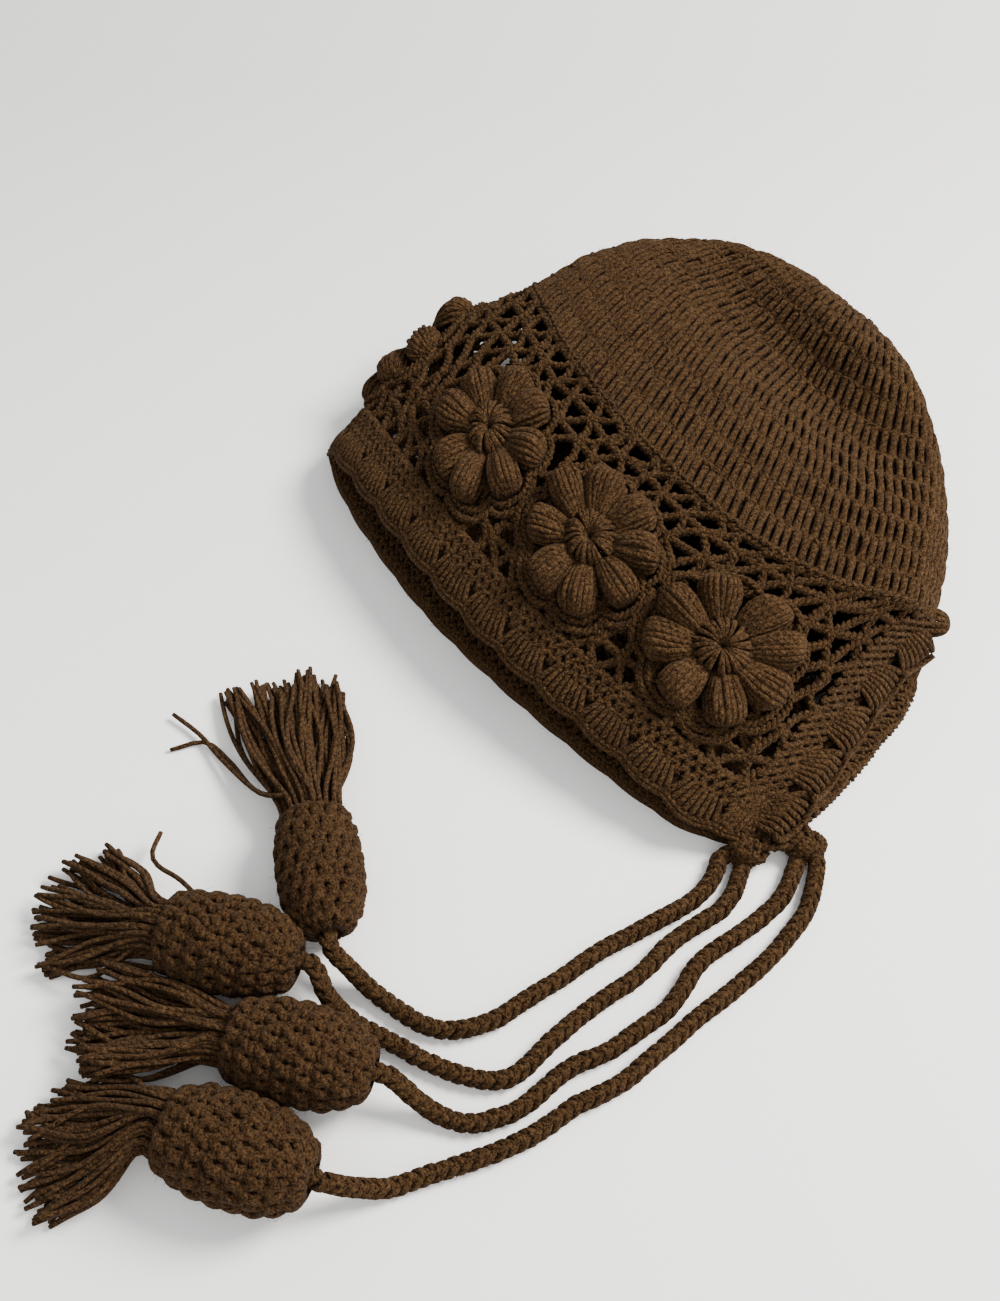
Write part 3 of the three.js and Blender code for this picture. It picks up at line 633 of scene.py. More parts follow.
def plied_wool_group():
    """Colour and bump of plied wool yarn, with painted shade on the flanks of each strand. The Yarn map gives
    millimetres along it and turns round it.
    """
    group = bpy.data.node_groups.new("Plied wool", "ShaderNodeTree")
    for name, kind, way, value in WOOL_SOCKETS:
        group_socket(group, name, kind, way, value)
    nodes, links = group.nodes, group.links
    calculate = calculator(nodes, links)
    given = nodes.new("NodeGroupInput").outputs
    outputs = nodes.new("NodeGroupOutput")
    yarn = nodes.new("ShaderNodeUVMap")
    yarn.uv_map = "Yarn"
    split = nodes.new("ShaderNodeSeparateXYZ")
    links.new(yarn.outputs["UV"], split.inputs[0])
    spot = nodes.new("ShaderNodeTexCoord").outputs["Object"]
    fibre = noise(nodes, links, spot, FIBRE["scale"], FIBRE["detail"])
    tuft = noise(nodes, links, spot, TUFT["scale"], TUFT["detail"])
    patch = noise(nodes, links, spot, PATCH["scale"], PATCH["detail"])

    turns = calculate("DIVIDE", split.outputs["X"], given["Ply Length"])
    around = calculate("MULTIPLY", split.outputs["Y"], given["Plies"])
    phase = calculate("MULTIPLY", calculate("ADD", turns, around), 2 * math.pi)
    bent = calculate("MULTIPLY_ADD", tuft, TUFT["bend"], phase)
    ply = calculate("MULTIPLY_ADD", calculate("COSINE", bent), 0.5, 0.5)
    lightness = calculate("MULTIPLY_ADD", ply, PLY["light"], BASE_LIGHT)
    for source, table in ((fibre, FIBRE), (tuft, TUFT), (patch, PATCH)):
        lightness = calculate("MULTIPLY_ADD", source, table["light"], lightness)

    # Painted shade: the flanks of each strand, away from its outward side, are darkened for the shade between
    # neighbouring stitches
    turned = calculate("MULTIPLY", split.outputs["Y"], 2 * math.pi)
    outward = calculate("ABSOLUTE", calculate("SINE", turned))
    painted_flank_shade = calculate("MAXIMUM", calculate("SUBTRACT", PAINTED_SHADE_EDGE, outward), 0.0)
    lightness = calculate("SUBTRACT", lightness, calculate("MULTIPLY", painted_flank_shade, given["Painted Flank Shade"]))
    blend = nodes.new("ShaderNodeMix")
    blend.data_type = "RGBA"
    blend.clamp_factor = True
    links.new(lightness, blend.inputs["Factor"])
    links.new(given["Dark"], blend.inputs["A"])
    links.new(given["Light"], blend.inputs["B"])
    links.new(blend.outputs["Result"], outputs.inputs["Color"])

    height = calculate("MULTIPLY_ADD", fibre, FIBRE["bump"], calculate("MULTIPLY", ply, PLY["bump"]))
    height = calculate("MULTIPLY_ADD", tuft, TUFT["bump"], height)
    links.new(height, outputs.inputs["Height"])
    return group


PLIED_WOOL = plied_wool_group()
BUMP_DEPTH = 0.0004


def wool(name, dark, light, ply_length=3.0, plies=3.0, flank_shade=0.35):
    """A matte wool material with plied yarn; the flanks of its strands are darkened as painted shade."""
    material = bpy.data.materials.new(name)
    material.use_nodes = True
    nodes, links = material.node_tree.nodes, material.node_tree.links
    shader = nodes["Principled BSDF"]
    yarn = nodes.new("ShaderNodeGroup")
    yarn.node_tree = PLIED_WOOL
    yarn.inputs["Dark"].default_value = (*dark, 1)
    yarn.inputs["Light"].default_value = (*light, 1)
    yarn.inputs["Ply Length"].default_value = ply_length
    yarn.inputs["Plies"].default_value = plies
    yarn.inputs["Painted Flank Shade"].default_value = flank_shade
    bump = nodes.new("ShaderNodeBump")
    bump.inputs["Strength"].default_value = 1.0
    bump.inputs["Distance"].default_value = BUMP_DEPTH
    links.new(yarn.outputs["Height"], bump.inputs["Height"])
    links.new(yarn.outputs["Color"], shader.inputs["Base Color"])
    links.new(bump.outputs["Normal"], shader.inputs["Normal"])
    shader.inputs["Roughness"].default_value = 0.95
    shader.inputs["Specular IOR Level"].default_value = 0.05
    shader.inputs["Sheen Weight"].default_value = 0.045
    shader.inputs["Sheen Roughness"].default_value = 0.55
    shader.inputs["Sheen Tint"].default_value = (0.55, 0.4, 0.28, 1)
    return material


DARK = (0.0060, 0.0014, 0.0003)
LIGHT = (0.0755, 0.0408, 0.0164)
FLOWER_LIGHT = (0.0860, 0.0460, 0.0188)
BARREL_LIGHT = (0.0680, 0.0362, 0.0148)
FRINGE_LIGHT = (0.0830, 0.0445, 0.0190)
# Darker copy of the wool for the felted backing seen between stitches: painted shade for the shade deep in
# the wall
BACKING_SHADE_DARK = (0.005, 0.0016, 0.0005)
BACKING_SHADE_LIGHT = (0.03, 0.0155, 0.0065)
CROWN_WOOL = wool("Top wool", DARK, LIGHT, 3.0, 3.0, 0.7)
BAND_WOOL = wool("Band wool", DARK, LIGHT, 2.6)
BORDER_WOOL = wool("Border wool", DARK, LIGHT, 2.6)
FLOWER_WOOL = wool("Flower wool", DARK, FLOWER_LIGHT, 3.2, 2.0)
KNOT_WOOL = wool("Knot wool", DARK, LIGHT)
TIE_WOOL = wool("Tie wool", DARK, LIGHT, 2.8)
BARREL_WOOL = wool("Barrel wool", DARK, BARREL_LIGHT, 2.6)
FRINGE_WOOL = wool("Fringe wool", DARK, FRINGE_LIGHT, 3.4, 2.0)
SHADED_BACKING_WOOL = wool("Backing wool painted shade", BACKING_SHADE_DARK, BACKING_SHADE_LIGHT, 3.0, 3.0, 0.0)


# Crown

# For each layer: half height of a tall stitch, points along it and sides
POSTS = {"upper": (2.0, 8, 6), "under": (1.6, 5, 5)}
POST = {
    "overlap": 0.12, "stagger": 0.4, "width": 0.57, "pinch": (0.12, 0.24), "more_pinch": 0.17, "lower": 0.2,
    "depth": 1.2, "rise": 1.6, "plain_angle": 75, "fade": 60,
}
HEAD = {"tall": 0.5, "long": 0.42, "depth": 1.9, "first_depth": 0.9}
# Depths of the two faces of the felted backing, which is dressed in darker wool as painted shade
CROWN_BACKING = (2.9, WALL - 0.2)
BORDER_BACKING = (1.5, 2.6)
# Loose fibres to a millimetre of yarn
FIBRES = {
    "crown": 0.22, "flower": 0.08, "net": 0.02, "border": 0.1, "tie": 0.15, "barrel": 0.12, "fringe": 0.03,
}


def backing(low, high, columns, rows, depths, closed):
    """The felted mass behind the stitches, a shell between two depths below the outer face."""
    shares = np.linspace(0, 1, columns, endpoint=not closed)
    share, station = np.meshgrid(shares, np.linspace(low, high, rows), indexing="ij")
    angle = angle_at(share, station)
    outer, inner = (lifted(angle, station, -depth)[0] for depth in depths)
    return sheet_grid(outer, inner, closed)


def round_edges():
    """Stations where the rounds of tall stitches begin and end."""
    flat = np.linspace(0, FLAT_ROUNDS, FLAT_ROWS + 1)
    return np.concatenate([flat, np.linspace(FLAT_ROUNDS, 1, ROUND_ROWS + 1)[1:]])


def stitch_count(station):
    """How many tall stitches go round the crown at a station."""
    return max(8, int(round(loop_length(station) / STITCH)))


def on_layer(angles, layer):
    """Which rows of angles lie on a layer, by a point in the middle of each."""
    return (angles[:, angles.shape[1] // 2] >= 0) == (layer == "upper")


def post_rows(layer):
    """Rounds of tall stitches, each a rib with a waist that sinks at both ends."""
    half_height, length_points, sides = POSTS[layer]
    parts = []
    t = np.linspace(0, 1, length_points)
    rise = np.sin(math.pi * t) ** 0.7
    waist = np.sin(math.pi * t) ** 3
    edges = round_edges()
    for row, (bottom, top) in enumerate(zip(edges[:-1], edges[1:])):
        middle = min((bottom + top) / 2, 0.97)
        count = stitch_count(middle)
        pitch = loop_length(middle) / count
        share = (np.arange(count) + POST["stagger"] * row + RANDOM.normal(0, 0.05, count)) / count
        way = t * (1 + 2 * POST["overlap"]) - POST["overlap"]
        station = np.clip(bottom + (top - bottom) * way, 0.0, CLOSING)
        tilt = RANDOM.normal(0, 0.08 / count, (count, 1)) * t
        shares = share[:, None] + POST_LEAN / count * (t - 0.5) + tilt
        angles = angle_at(shares % 1, station)
        angles = angles[on_layer(angles, layer)]
        kept = len(angles)
        lift = -half_height - POST["depth"] + POST["rise"] * rise + RANDOM.normal(0, 0.2, (kept, 1))
        point, out = lifted(angles, np.broadcast_to(station, angles.shape), lift)
        forward = np.clip((POST["plain_angle"] - np.abs(angles[:, :1])) / POST["fade"], 0, 1)
        pinch = RANDOM.uniform(*POST["pinch"], (kept, 1)) + POST["more_pinch"] * forward
        width = pitch * (POST["width"] - pinch * waist)
        height = half_height * (0.75 + 0.25 * rise - POST["lower"] * forward)
        parts.append(tubes(point, out, width, height, sides))
    return parts


def head_rows(layer):
    """The heads of each round: two slanting strands to a stitch along the line between two rounds."""
    parts = []
    t = np.linspace(-1, 1, 4)
    for station in np.maximum(round_edges()[:-1], 0.004):
        count = stitch_count(station)
        depth = HEAD["depth"] if station > 0.01 else HEAD["first_depth"]
        for half, tilt in ((0.25, 1.0), (0.75, -1.0)):
            share = (np.arange(count) + half + RANDOM.normal(0, 0.1, count)) / count
            angles = angle_at((share[:, None] + t * HEAD["long"] / count) % 1, station)
            angles = angles[on_layer(angles, layer)]
            lift = -depth + HEAD["tall"] * (1 - t**2) + RANDOM.normal(0, 0.25, (len(angles), 1))
            onward = np.broadcast_to(t * tilt, angles.shape)
            point, out = lifted(angles, np.full(angles.shape, station), lift, 0.0, onward)
            parts.append(tubes(point, out, *STRANDS["head"]))
    return parts


def make_crown():
    shell = backing(0.0, CLOSING, 110, 36, CROWN_BACKING, True)
    piece("crown_backing", [shell], SHADED_BACKING_WOOL, ["crown"])
    piece("crown_posts_upper", post_rows("upper"), CROWN_WOOL, (), FIBRES["crown"])
    piece("crown_posts_under", post_rows("under"), CROWN_WOOL)
    piece("crown_heads", head_rows("upper") + head_rows("under"), CROWN_WOOL)


# Flowers

PETALS = 8
PETAL_STRANDS = 11
FLOWER_RADIUS = 29.8
EYE_RADIUS = 10.5
EYE_STRANDS = 28
PETAL_FAN = 88
PETAL_HALF = 7.5
FILLING = (0.2, 0.8)
# Inward from the tip and height of the strands that tie it
TIP_TIES = ((0.9, 1.6), (3.0, 4.0))
CHAIN = {"radius": 1.15, "pitch": 5.2}


def on_flower(arc, reach, bearing, height):
    """Points over the strip at a reach and bearing from a flower's middle."""
    angle = angle_at_arc(arc + reach * np.cos(bearing))
    station = FLOWER_ROW + reach * np.sin(bearing) / STRIP_WIDTH
    return lifted(angle, station, height)


def petal_tip(size):
    return EYE_RADIUS + (FLOWER_RADIUS - EYE_RADIUS) * size


def petal(arc, bearing, height, size):
    """A puffed petal: parallel strands over a bulge that draw together and turn down at the tip."""
    t = np.linspace(0, 1, 12)
    fan = np.radians(np.linspace(-PETAL_FAN, PETAL_FAN, PETAL_STRANDS))[:, None]
    fan = fan + RANDOM.normal(0, 0.16) * (t - 0.5)
    tip = petal_tip(size)
    base = EYE_RADIUS - 2.0
    # The strands run out from the eye and close at the tip
    reach = base + (tip - base) * np.sin(t * math.pi / 2) ** 0.9 + 0.8 * np.cos(fan) * t
    closing = 1 - 0.66 * np.clip((t - 0.55) / 0.45, 0, 1) ** 1.8
    half = np.minimum(reach * 0.37, size * PETAL_HALF) * closing
    # Their ridge swells over the middle and turns down at the tip
    blunt = np.sqrt(np.clip(1 - (np.clip(t - 0.5, 0, 1) / 0.51) ** 2, 0, 1))
    ridge = (1.2 + (height + 2.0) * np.sin(math.pi * np.clip(t * 0.86, 0, 1)) ** 0.75) * blunt
    aside = half * np.sin(fan) + RANDOM.normal(0, 0.25, fan[:, :1].shape) * np.sin(math.pi * t)
    side_height = 0.06 + 0.5 * np.clip(1 - t / 0.35, 0, 1)
    rise = ridge * (side_height + (1 - side_height) * np.clip(np.cos(fan), 0, 1) ** 0.7) - 0.4
    # Each strand lies a little higher or lower, and waves
    rise = rise + RANDOM.normal(0, 0.22, (PETAL_STRANDS, 1))
    rise = rise + 0.32 * np.sin(8 * t + RANDOM.normal(0, 2, (PETAL_STRANDS, 1)))
    distance = np.hypot(reach, aside)
    direction = bearing + np.arctan2(aside, reach)
    point, out = on_flower(arc, distance, direction, rise)
    filling = sheet_grid(point + FILLING[0] * out, point - FILLING[1] * out)
    return [tubes(point, out, *STRANDS["petal"]), filling]


def tip_tie(arc, bearing, size):
    """The short strands that draw a petal's tip together."""
    parts = []
    t = np.linspace(-1, 1, 6)[None]
    tip = petal_tip(size)
    for inward, lift in TIP_TIES:
        reach = tip - inward - 1.4 * t**2
        aside = 3.4 * t + RANDOM.normal(0, 0.4)
        direction = bearing + np.arctan2(aside, reach)
        point, out = on_flower(arc, np.hypot(reach, aside), direction, lift - 2.2 * t**2)
        parts.append(tubes(point, out, *STRANDS["petal_tip"]))
    return parts


def eye(arc, height):
    """The middle: a puffed disc of radial strands that sink to the centre and drop at the rim."""
    t = np.linspace(0, 1, 8)[None]
    turn = 2 * math.pi * np.arange(EYE_STRANDS) / EYE_STRANDS
    bearing = (turn + RANDOM.normal(0, 0.06, EYE_STRANDS))[:, None]
    reach = 0.8 + (EYE_RADIUS + RANDOM.normal(0, 0.5, (EYE_STRANDS, 1))) * t
    swell = np.sin(math.pi * np.clip(0.14 + 0.8 * t, 0, 1)) ** 0.6
    lift = 1.4 + (height * 0.86) * swell - 1.8 * (1 - t) ** 5 + RANDOM.normal(0, 0.18, (EYE_STRANDS, 1))
    point, out = on_flower(arc, reach, bearing + 0.12 * t, lift + 0 * bearing)
    width = 0.35 + 0.95 * t**0.85 + 0 * bearing
    return tubes(point, out, width, 0.6 + 0.5 * t, 5)


def loop_behind(arc, bearing, shift):
    """The chain loop that goes round a petal's tip."""
    t = np.linspace(-1, 1, 16)
    reach = FLOWER_RADIUS + 3.4 + shift - 8 * np.abs(t) ** 3
    aside = (11.5 + 0.4 * shift) * t
    wander = RANDOM.normal(0, 0.6, 2)
    point, out = on_flower(
        arc, np.hypot(reach, aside), bearing + np.arctan2(aside + wander[0], reach), -0.7 + 0.9 * (1 - t**2)
    )
    return rope(point, out, CHAIN["radius"], CHAIN["pitch"])


def make_flower(name, node, arc, height, turn):
    parts = [eye(arc, height)]
    for k in range(PETALS):
        bearing = turn + 2 * math.pi * k / PETALS + RANDOM.normal(0, 0.05)
        size = 1 + RANDOM.normal(0, 0.035)
        puff = height * (1 + RANDOM.normal(0, 0.08))
        parts += petal(arc, bearing, puff, size)
        parts += tip_tie(arc, bearing, size)
    piece(name, parts, FLOWER_WOOL, [node], FIBRES["flower"])


def make_flowers():
    make_flower("flower_forehead_wool", "flower_forehead", 0.0, 6.0, 0.0)
    for k, arc in enumerate(FLOWER_ARCS):
        make_flower(f"flower_upper_wool_{k + 1}", f"flower_upper_{k + 1}", arc, 6.6, 0.33 + 0.12 * k)
        make_flower(f"flower_under_wool_{k + 1}", f"flower_under_{k + 1}", -arc, 4.0, 0.39)


# Band

FLOWER_MIDDLES = [0.0] + [sign * arc for arc in FLOWER_ARCS for sign in (1, -1)]
NET = {"radius": 1.3, "pitch": 5.6, "depth": 2.0, "behind_flower": 23.0}
# Extra chains near the fold, where the mesh is denser: first and last share of the columns, and their shifts
DENSE_PART = (0.3, 0.52)
DENSE_SHIFTS = (0.3, 0.75)
STRIP_SPAN = (-0.999, -0.006)


def far_from_flowers(points, reach):
    """Which points are further than reach from every flower's middle."""
    middles = outer_face(angle_at_arc(FLOWER_MIDDLES), np.full(len(FLOWER_MIDDLES), FLOWER_ROW))
    nearest = np.min(np.linalg.norm(points[..., None, :] - middles, axis=-1), axis=-1)
    return nearest > reach


def runs(mask):
    """First and last index of each unbroken run of true values."""
    edges = np.flatnonzero(np.diff(np.concatenate([[0], mask.astype(int), [0]])))
    return [(a, b - 1) for a, b in zip(edges[::2], edges[1::2]) if b - a >= 4]


def net_knots():
    """Places where the chains meet: shares and stations, rows by columns."""
    row, column = np.meshgrid(np.arange(NET_ROWS + 1), np.arange(NET_COLUMNS + 1), indexing="ij")
    share = 0.014 + 0.972 * (column + 0.5 * (row % 2)) / (NET_COLUMNS + 0.5)
    station = BORDER_TOP * (1 - row / NET_ROWS)
    loose = (row > 0) & (row < NET_ROWS)
    share = share + loose * RANDOM.normal(0, 0.12, row.shape) / NET_COLUMNS
    station = station + loose * RANDOM.normal(0, 0.011, row.shape)
    return share, np.minimum(station, -0.012)


def chain(share, station, bow, parts):
    """A chain between places on the strip, left out behind a flower."""
    angle = angle_at(share, station)
    point, out = lifted(angle, station, bow - NET["depth"])
    visible = far_from_flowers(point, NET["behind_flower"])
    for first, last in runs(visible):
        parts.append(rope(point[first:last + 1], out[first:last + 1], NET["radius"], NET["pitch"]))


def slanting_chains(share, station):
    """The chains between the knots of one row and the next, denser near the forehead fold."""
    parts = []
    t = np.linspace(-0.04, 1.04, 9)

    def between(row, column, other):
        shares = share[row, column] * (1 - t) + share[row + 1, other] * t
        stations = station[row, column] * (1 - t) + station[row + 1, other] * t
        return shares, stations

    for row in range(NET_ROWS):
        for column in range(NET_COLUMNS + 1):
            for step in ((0, 1) if row % 2 else (0, -1)):
                other = column + step
                if other < 0 or other > NET_COLUMNS:
                    continue
                bend = RANDOM.normal(0, 0.16) / NET_COLUMNS * np.sin(math.pi * t)
                shares, stations = between(row, column, other)
                shares = np.clip(shares + bend, 0.012, 0.988)
                chain(shares, np.clip(stations, *STRIP_SPAN), 0.5 * np.sin(9 * t), parts)
    first, last = (int(part * NET_COLUMNS) for part in DENSE_PART)
    for row in range(NET_ROWS):
        for column in range(first, last):
            shares, stations = between(row, column, column)
            for shift in DENSE_SHIFTS:
                chain(shares + shift / NET_COLUMNS, np.clip(stations, *STRIP_SPAN), -0.6 + 0 * t, parts)
    return parts


def row_chains(share, station):
    """The chains that run along the rows of knots."""
    parts = []
    dense = np.linspace(0, NET_COLUMNS, 560)
    for row in NET_LINES:
        shares = np.interp(dense, np.arange(NET_COLUMNS + 1), share[row])
        stations = np.interp(dense, np.arange(NET_COLUMNS + 1), station[row])
        chain(shares, stations, 0.3 * np.sin(dense * 3), parts)
    return parts


def flower_loops():
    """Chain loops round the petals' tips, two deep toward the face edge."""
    parts = []
    for arc in FLOWER_MIDDLES:
        for k in range(PETALS):
            bearing = 0.39 + 2 * math.pi * k / PETALS
            parts.append(loop_behind(arc, bearing, 0.0))
            if math.sin(bearing) < 0:
                parts.append(loop_behind(arc, bearing, 3.6))
    return parts


def make_band():
    share, station = net_knots()
    slants = slanting_chains(share, station)
    lines = row_chains(share, station) + flower_loops()
    piece("band_net", slants, BAND_WOOL, ["band"], FIBRES["net"])
    piece("band_chains", lines, BAND_WOOL)


# Border

NECK_RISE = 5.2
SHORT = {"pitch": 4.4, "tall": 4.3, "half_width": 1.25, "half_height": 1.05}
OUTER_DEPTH = 1.2
INNER_DEPTH = 2.9
# Strands of the edges: how far past the edge, and height over the outer face
FACE_STRANDS = ((-0.9, -1.0), (0.7, -1.5), (-0.2, -2.6), (-1.6, -2.9))
UPPER_NECK_STRANDS = ((-0.9, NECK_RISE + 1.1), (1.3, NECK_RISE + 0.1), (-3.4, -1.8), (-3.8, -2.9))
UNDER_NECK_STRANDS = ((-0.7, 0.1), (1.0, -0.7), (-1.6, -2.9))
SHELL = {"face_count": 25, "neck_count": 5, "stitches": 8, "depth": 10.5, "scallop": 1.9, "neck_scallop": 5.4}


def on_strip(share, station, height):
    """Points over the strip. Shares and stations past its edges go straight on from the edge."""
    share, station, height = np.broadcast_arrays(share, station, height)
    inside = np.clip(station, -0.999, -0.004)
    onward = (station - inside) * STRIP_WIDTH
    sideways = (share - np.clip(share, 0, 1)) * loop_length(inside)
    return lifted(angle_at(share, inside), inside, height, sideways, onward)


def short_stitches(share, station, height, side_on=False):
    """Short stitches at places on the strip, each of two slanting strands."""
    parts = []
    outside = height > -WALL / 2
    points, sides, bulge = (5, 5, 1.0) if outside else (4, 4, -1.0)
    t = np.linspace(-1, 1, points)
    length = loop_length(station)
    for lean, lift in ((1, 0.3), (-1, 0.0)):
        along_way = lean * (t * 0.4 + 0.13) * SHORT["pitch"]
        across_way = t * SHORT["tall"] * 0.52
        if side_on:
            along_way, across_way = across_way, along_way
        shares = share[:, None] + along_way / length[:, None]
        stations = station[:, None] + across_way / STRIP_WIDTH
        heights = height + bulge * (lift + 0.5 * (1 - t**2)) + RANDOM.normal(0, 0.12, (len(share), 1))
        point, out = on_strip(shares, stations, heights)
        parts.append(tubes(point, out * bulge, SHORT["half_width"], SHORT["half_height"], sides))
    return parts


def face_rows(first, step, rows, height):
    """Rows of short stitches along the face edge, from a first station."""
    parts = []
    for row in range(rows):
        station = first + step * row
        count = int(loop_length(station) / SHORT["pitch"])
        share = (np.arange(count) + 0.5 * (row % 2) + 0.25 + RANDOM.normal(0, 0.06, count)) / count
        parts += short_stitches(share, np.full(count, station), height)
    return parts


def neck_columns(sign, first, step, columns, height):
    """Columns of short stitches up a neck edge, at millimetres in from it."""
    parts = []
    pitch = SHORT["pitch"] / STRIP_WIDTH
    stations = np.arange(-0.985, -0.015, pitch)
    for column in range(columns):
        inward = (first + step * column) / loop_length(stations)
        share = 1 - inward if sign > 0 else inward
        shifted = stations + 0.5 * (column % 2) * pitch
        parts += short_stitches(share, np.clip(shifted, -0.99, -0.01), height, True)
    return parts


def shell_fan(spread, depth):
    """Aside and reach of a shell's stitches, stitches by points."""
    t = np.linspace(0, 1, 8)
    fan = np.linspace(-1, 1, SHELL["stitches"])[:, None]
    aside = fan * spread * (0.33 + 0.15 * t)
    reach = t * (depth + SHELL["scallop"] * np.cos(fan * math.pi / 2))
    lift = -1.2 + 1.2 * np.sin(math.pi * t) ** 0.7 + 0 * fan + RANDOM.normal(0, 0.1, fan.shape)
    width = spread / (SHELL["stitches"] - 1) * (0.32 + 0.14 * t) + 0 * fan
    return aside, reach, lift, width


def face_shells():
    """Fans of stitches along the face edge."""
    parts = []
    base = -1 + SHELL["depth"] / STRIP_WIDTH
    spread = loop_length(-0.97) / SHELL["face_count"]
    for k in range(SHELL["face_count"]):
        aside, reach, lift, width = shell_fan(spread, SHELL["depth"] - 1.5)
        stations = base - reach / STRIP_WIDTH
        shares = (k + 0.5) / SHELL["face_count"] + aside / loop_length(stations)
        point, out = on_strip(shares, stations, lift)
        parts.append(tubes(point, out, width, 1.3, 6))
    return parts


def neck_shells(sign):
    """Fans up a neck edge. The upper layer's stand clear of the layer below at their rims."""
    parts = []
    spread = STRIP_WIDTH / SHELL["neck_count"]
    raised = NECK_RISE if sign > 0 else 0.0
    for k in range(SHELL["neck_count"]):
        aside, reach, lift, width = shell_fan(spread, SHELL["depth"] + 0.6)
        aside = aside * (0.72 + 0.28 * reach / SHELL["depth"])
        lift = lift + raised * np.minimum(reach / SHELL["depth"], 1.1) ** 1.6
        stations = np.clip(-1 + ((k + 0.5) * spread + aside) / STRIP_WIDTH, -0.995, -0.035)
        inward = (SHELL["depth"] - reach) / loop_length(stations)
        shares = 1 - inward if sign > 0 else inward
        point, out = on_strip(shares, stations, lift)
        parts.append(tubes(point, out, width, 1.15, 6))
    return parts


def face_edge():
    """Strands that follow the scallops of the face edge."""
    shares = np.linspace(0.0, 1.0, 560)
    scallop = SHELL["scallop"] * np.abs(np.sin(math.pi * shares * SHELL["face_count"]))
    scallop = scallop * np.where(shares < 0.5, 0.35, 1.0)
    parts = []
    for beyond, height in FACE_STRANDS:
        stations = -1 - (beyond + scallop) / STRIP_WIDTH
        point, out = on_strip(shares, stations, height)
        parts.append(tubes(point[None], out[None], *STRANDS["edge"]))
    return parts


def neck_edge(sign):
    """Strands that follow the scallops of a neck edge."""
    stations = np.linspace(-0.998, -0.035, 220)
    scallop = np.abs(np.sin(math.pi * (stations + 1) * SHELL["neck_count"])) ** 0.8
    scallop = scallop * (SHELL["neck_scallop"] if sign > 0 else SHELL["scallop"] * 0.5)
    parts = []
    for beyond, height in UPPER_NECK_STRANDS if sign > 0 else UNDER_NECK_STRANDS:
        outward = (beyond + scallop) / loop_length(stations)
        shares = 1 + outward if sign > 0 else -outward
        point, out = on_strip(shares, stations, height)
        parts.append(tubes(point[None], out[None], *STRANDS["neck_edge"]))
    return parts


def neck_backing(sign):
    """The felted mass behind a neck edge's stitches."""
    station, inward = np.meshgrid(np.linspace(BORDER_TOP, -0.02, 40), np.linspace(0, 21, 6), indexing="ij")
    share = inward / loop_length(station)
    share = 1 - share if sign > 0 else share
    outer, inner = (on_strip(share, station, -depth)[0] for depth in BORDER_BACKING)
    return sheet_grid(outer, inner)


def make_border():
    outer = face_rows(-0.832, -0.034, 3, -OUTER_DEPTH) + face_shells()
    for sign in (1, -1):
        outer += neck_columns(sign, 8.4, 3.8, 4, -OUTER_DEPTH) + neck_shells(sign)
    piece("border_stitches", outer, BORDER_WOOL, (), FIBRES["border"])
    inner = face_rows(-0.975, 0.036, 4, -INNER_DEPTH)
    for sign in (1, -1):
        inner += neck_columns(sign, 2.0, 3.9, 5, -INNER_DEPTH)
    piece("border_inside", inner, BORDER_WOOL)
    edges = face_edge() + neck_edge(1) + neck_edge(-1)
    piece("border_edge", edges, BORDER_WOOL, (), FIBRES["border"])
    face_backing = backing(-0.998, BORDER_TOP + 0.01, 240, 8, BORDER_BACKING, False)
    shells = [face_backing, neck_backing(1), neck_backing(-1)]
    piece("border_backing", shells, SHADED_BACKING_WOOL, ["border"])


# Ties, barrels and fringes


def heading_vector(degrees):
    return np.array([math.cos(math.radians(degrees)), math.sin(math.radians(degrees)), 0.0])


def tie_line(tassel):
    """The middle line of a tie in hat millimetres."""
    ahead = heading_vector(tassel["heading"])
    mouth = np.array([*tassel["tie_end"], tassel["radius"]]) - ahead * TIE_GAP
    points = []
    for x, y in tassel["route"]:
        far = (math.hypot(x - mouth[0], y - mouth[1]) - TIE_LEVEL) / (TIE_RISE - TIE_LEVEL)
        far = min(1.0, max(0.0, far))
        sunk = far * far * (3 - 2 * far)
        points.append((x, y, mouth[2] + (TIE_HEIGHT - mouth[2]) * sunk))
    points += [mouth - ahead * TIE_LEVEL, mouth]
    return spline(points, 12)


def whole_tie_line(tassel):
    """The middle line with its ends in the knot and in the barrel."""
    line = tie_line(tassel)
    start = np.array([*tassel["root"], TIE_HEIGHT + 1.2])
    inside = line[-1] + heading_vector(tassel["heading"]) * 7.0
    return spline(np.vstack([start[None], line[::8], line[-1:], inside[None]]), 10)


def rows_at(table, index):
    """Rows of a table of points at an index that may lie between two of them."""
    return np.stack([np.interp(index, np.arange(len(table)), table[:, k]) for k in range(3)], -1)


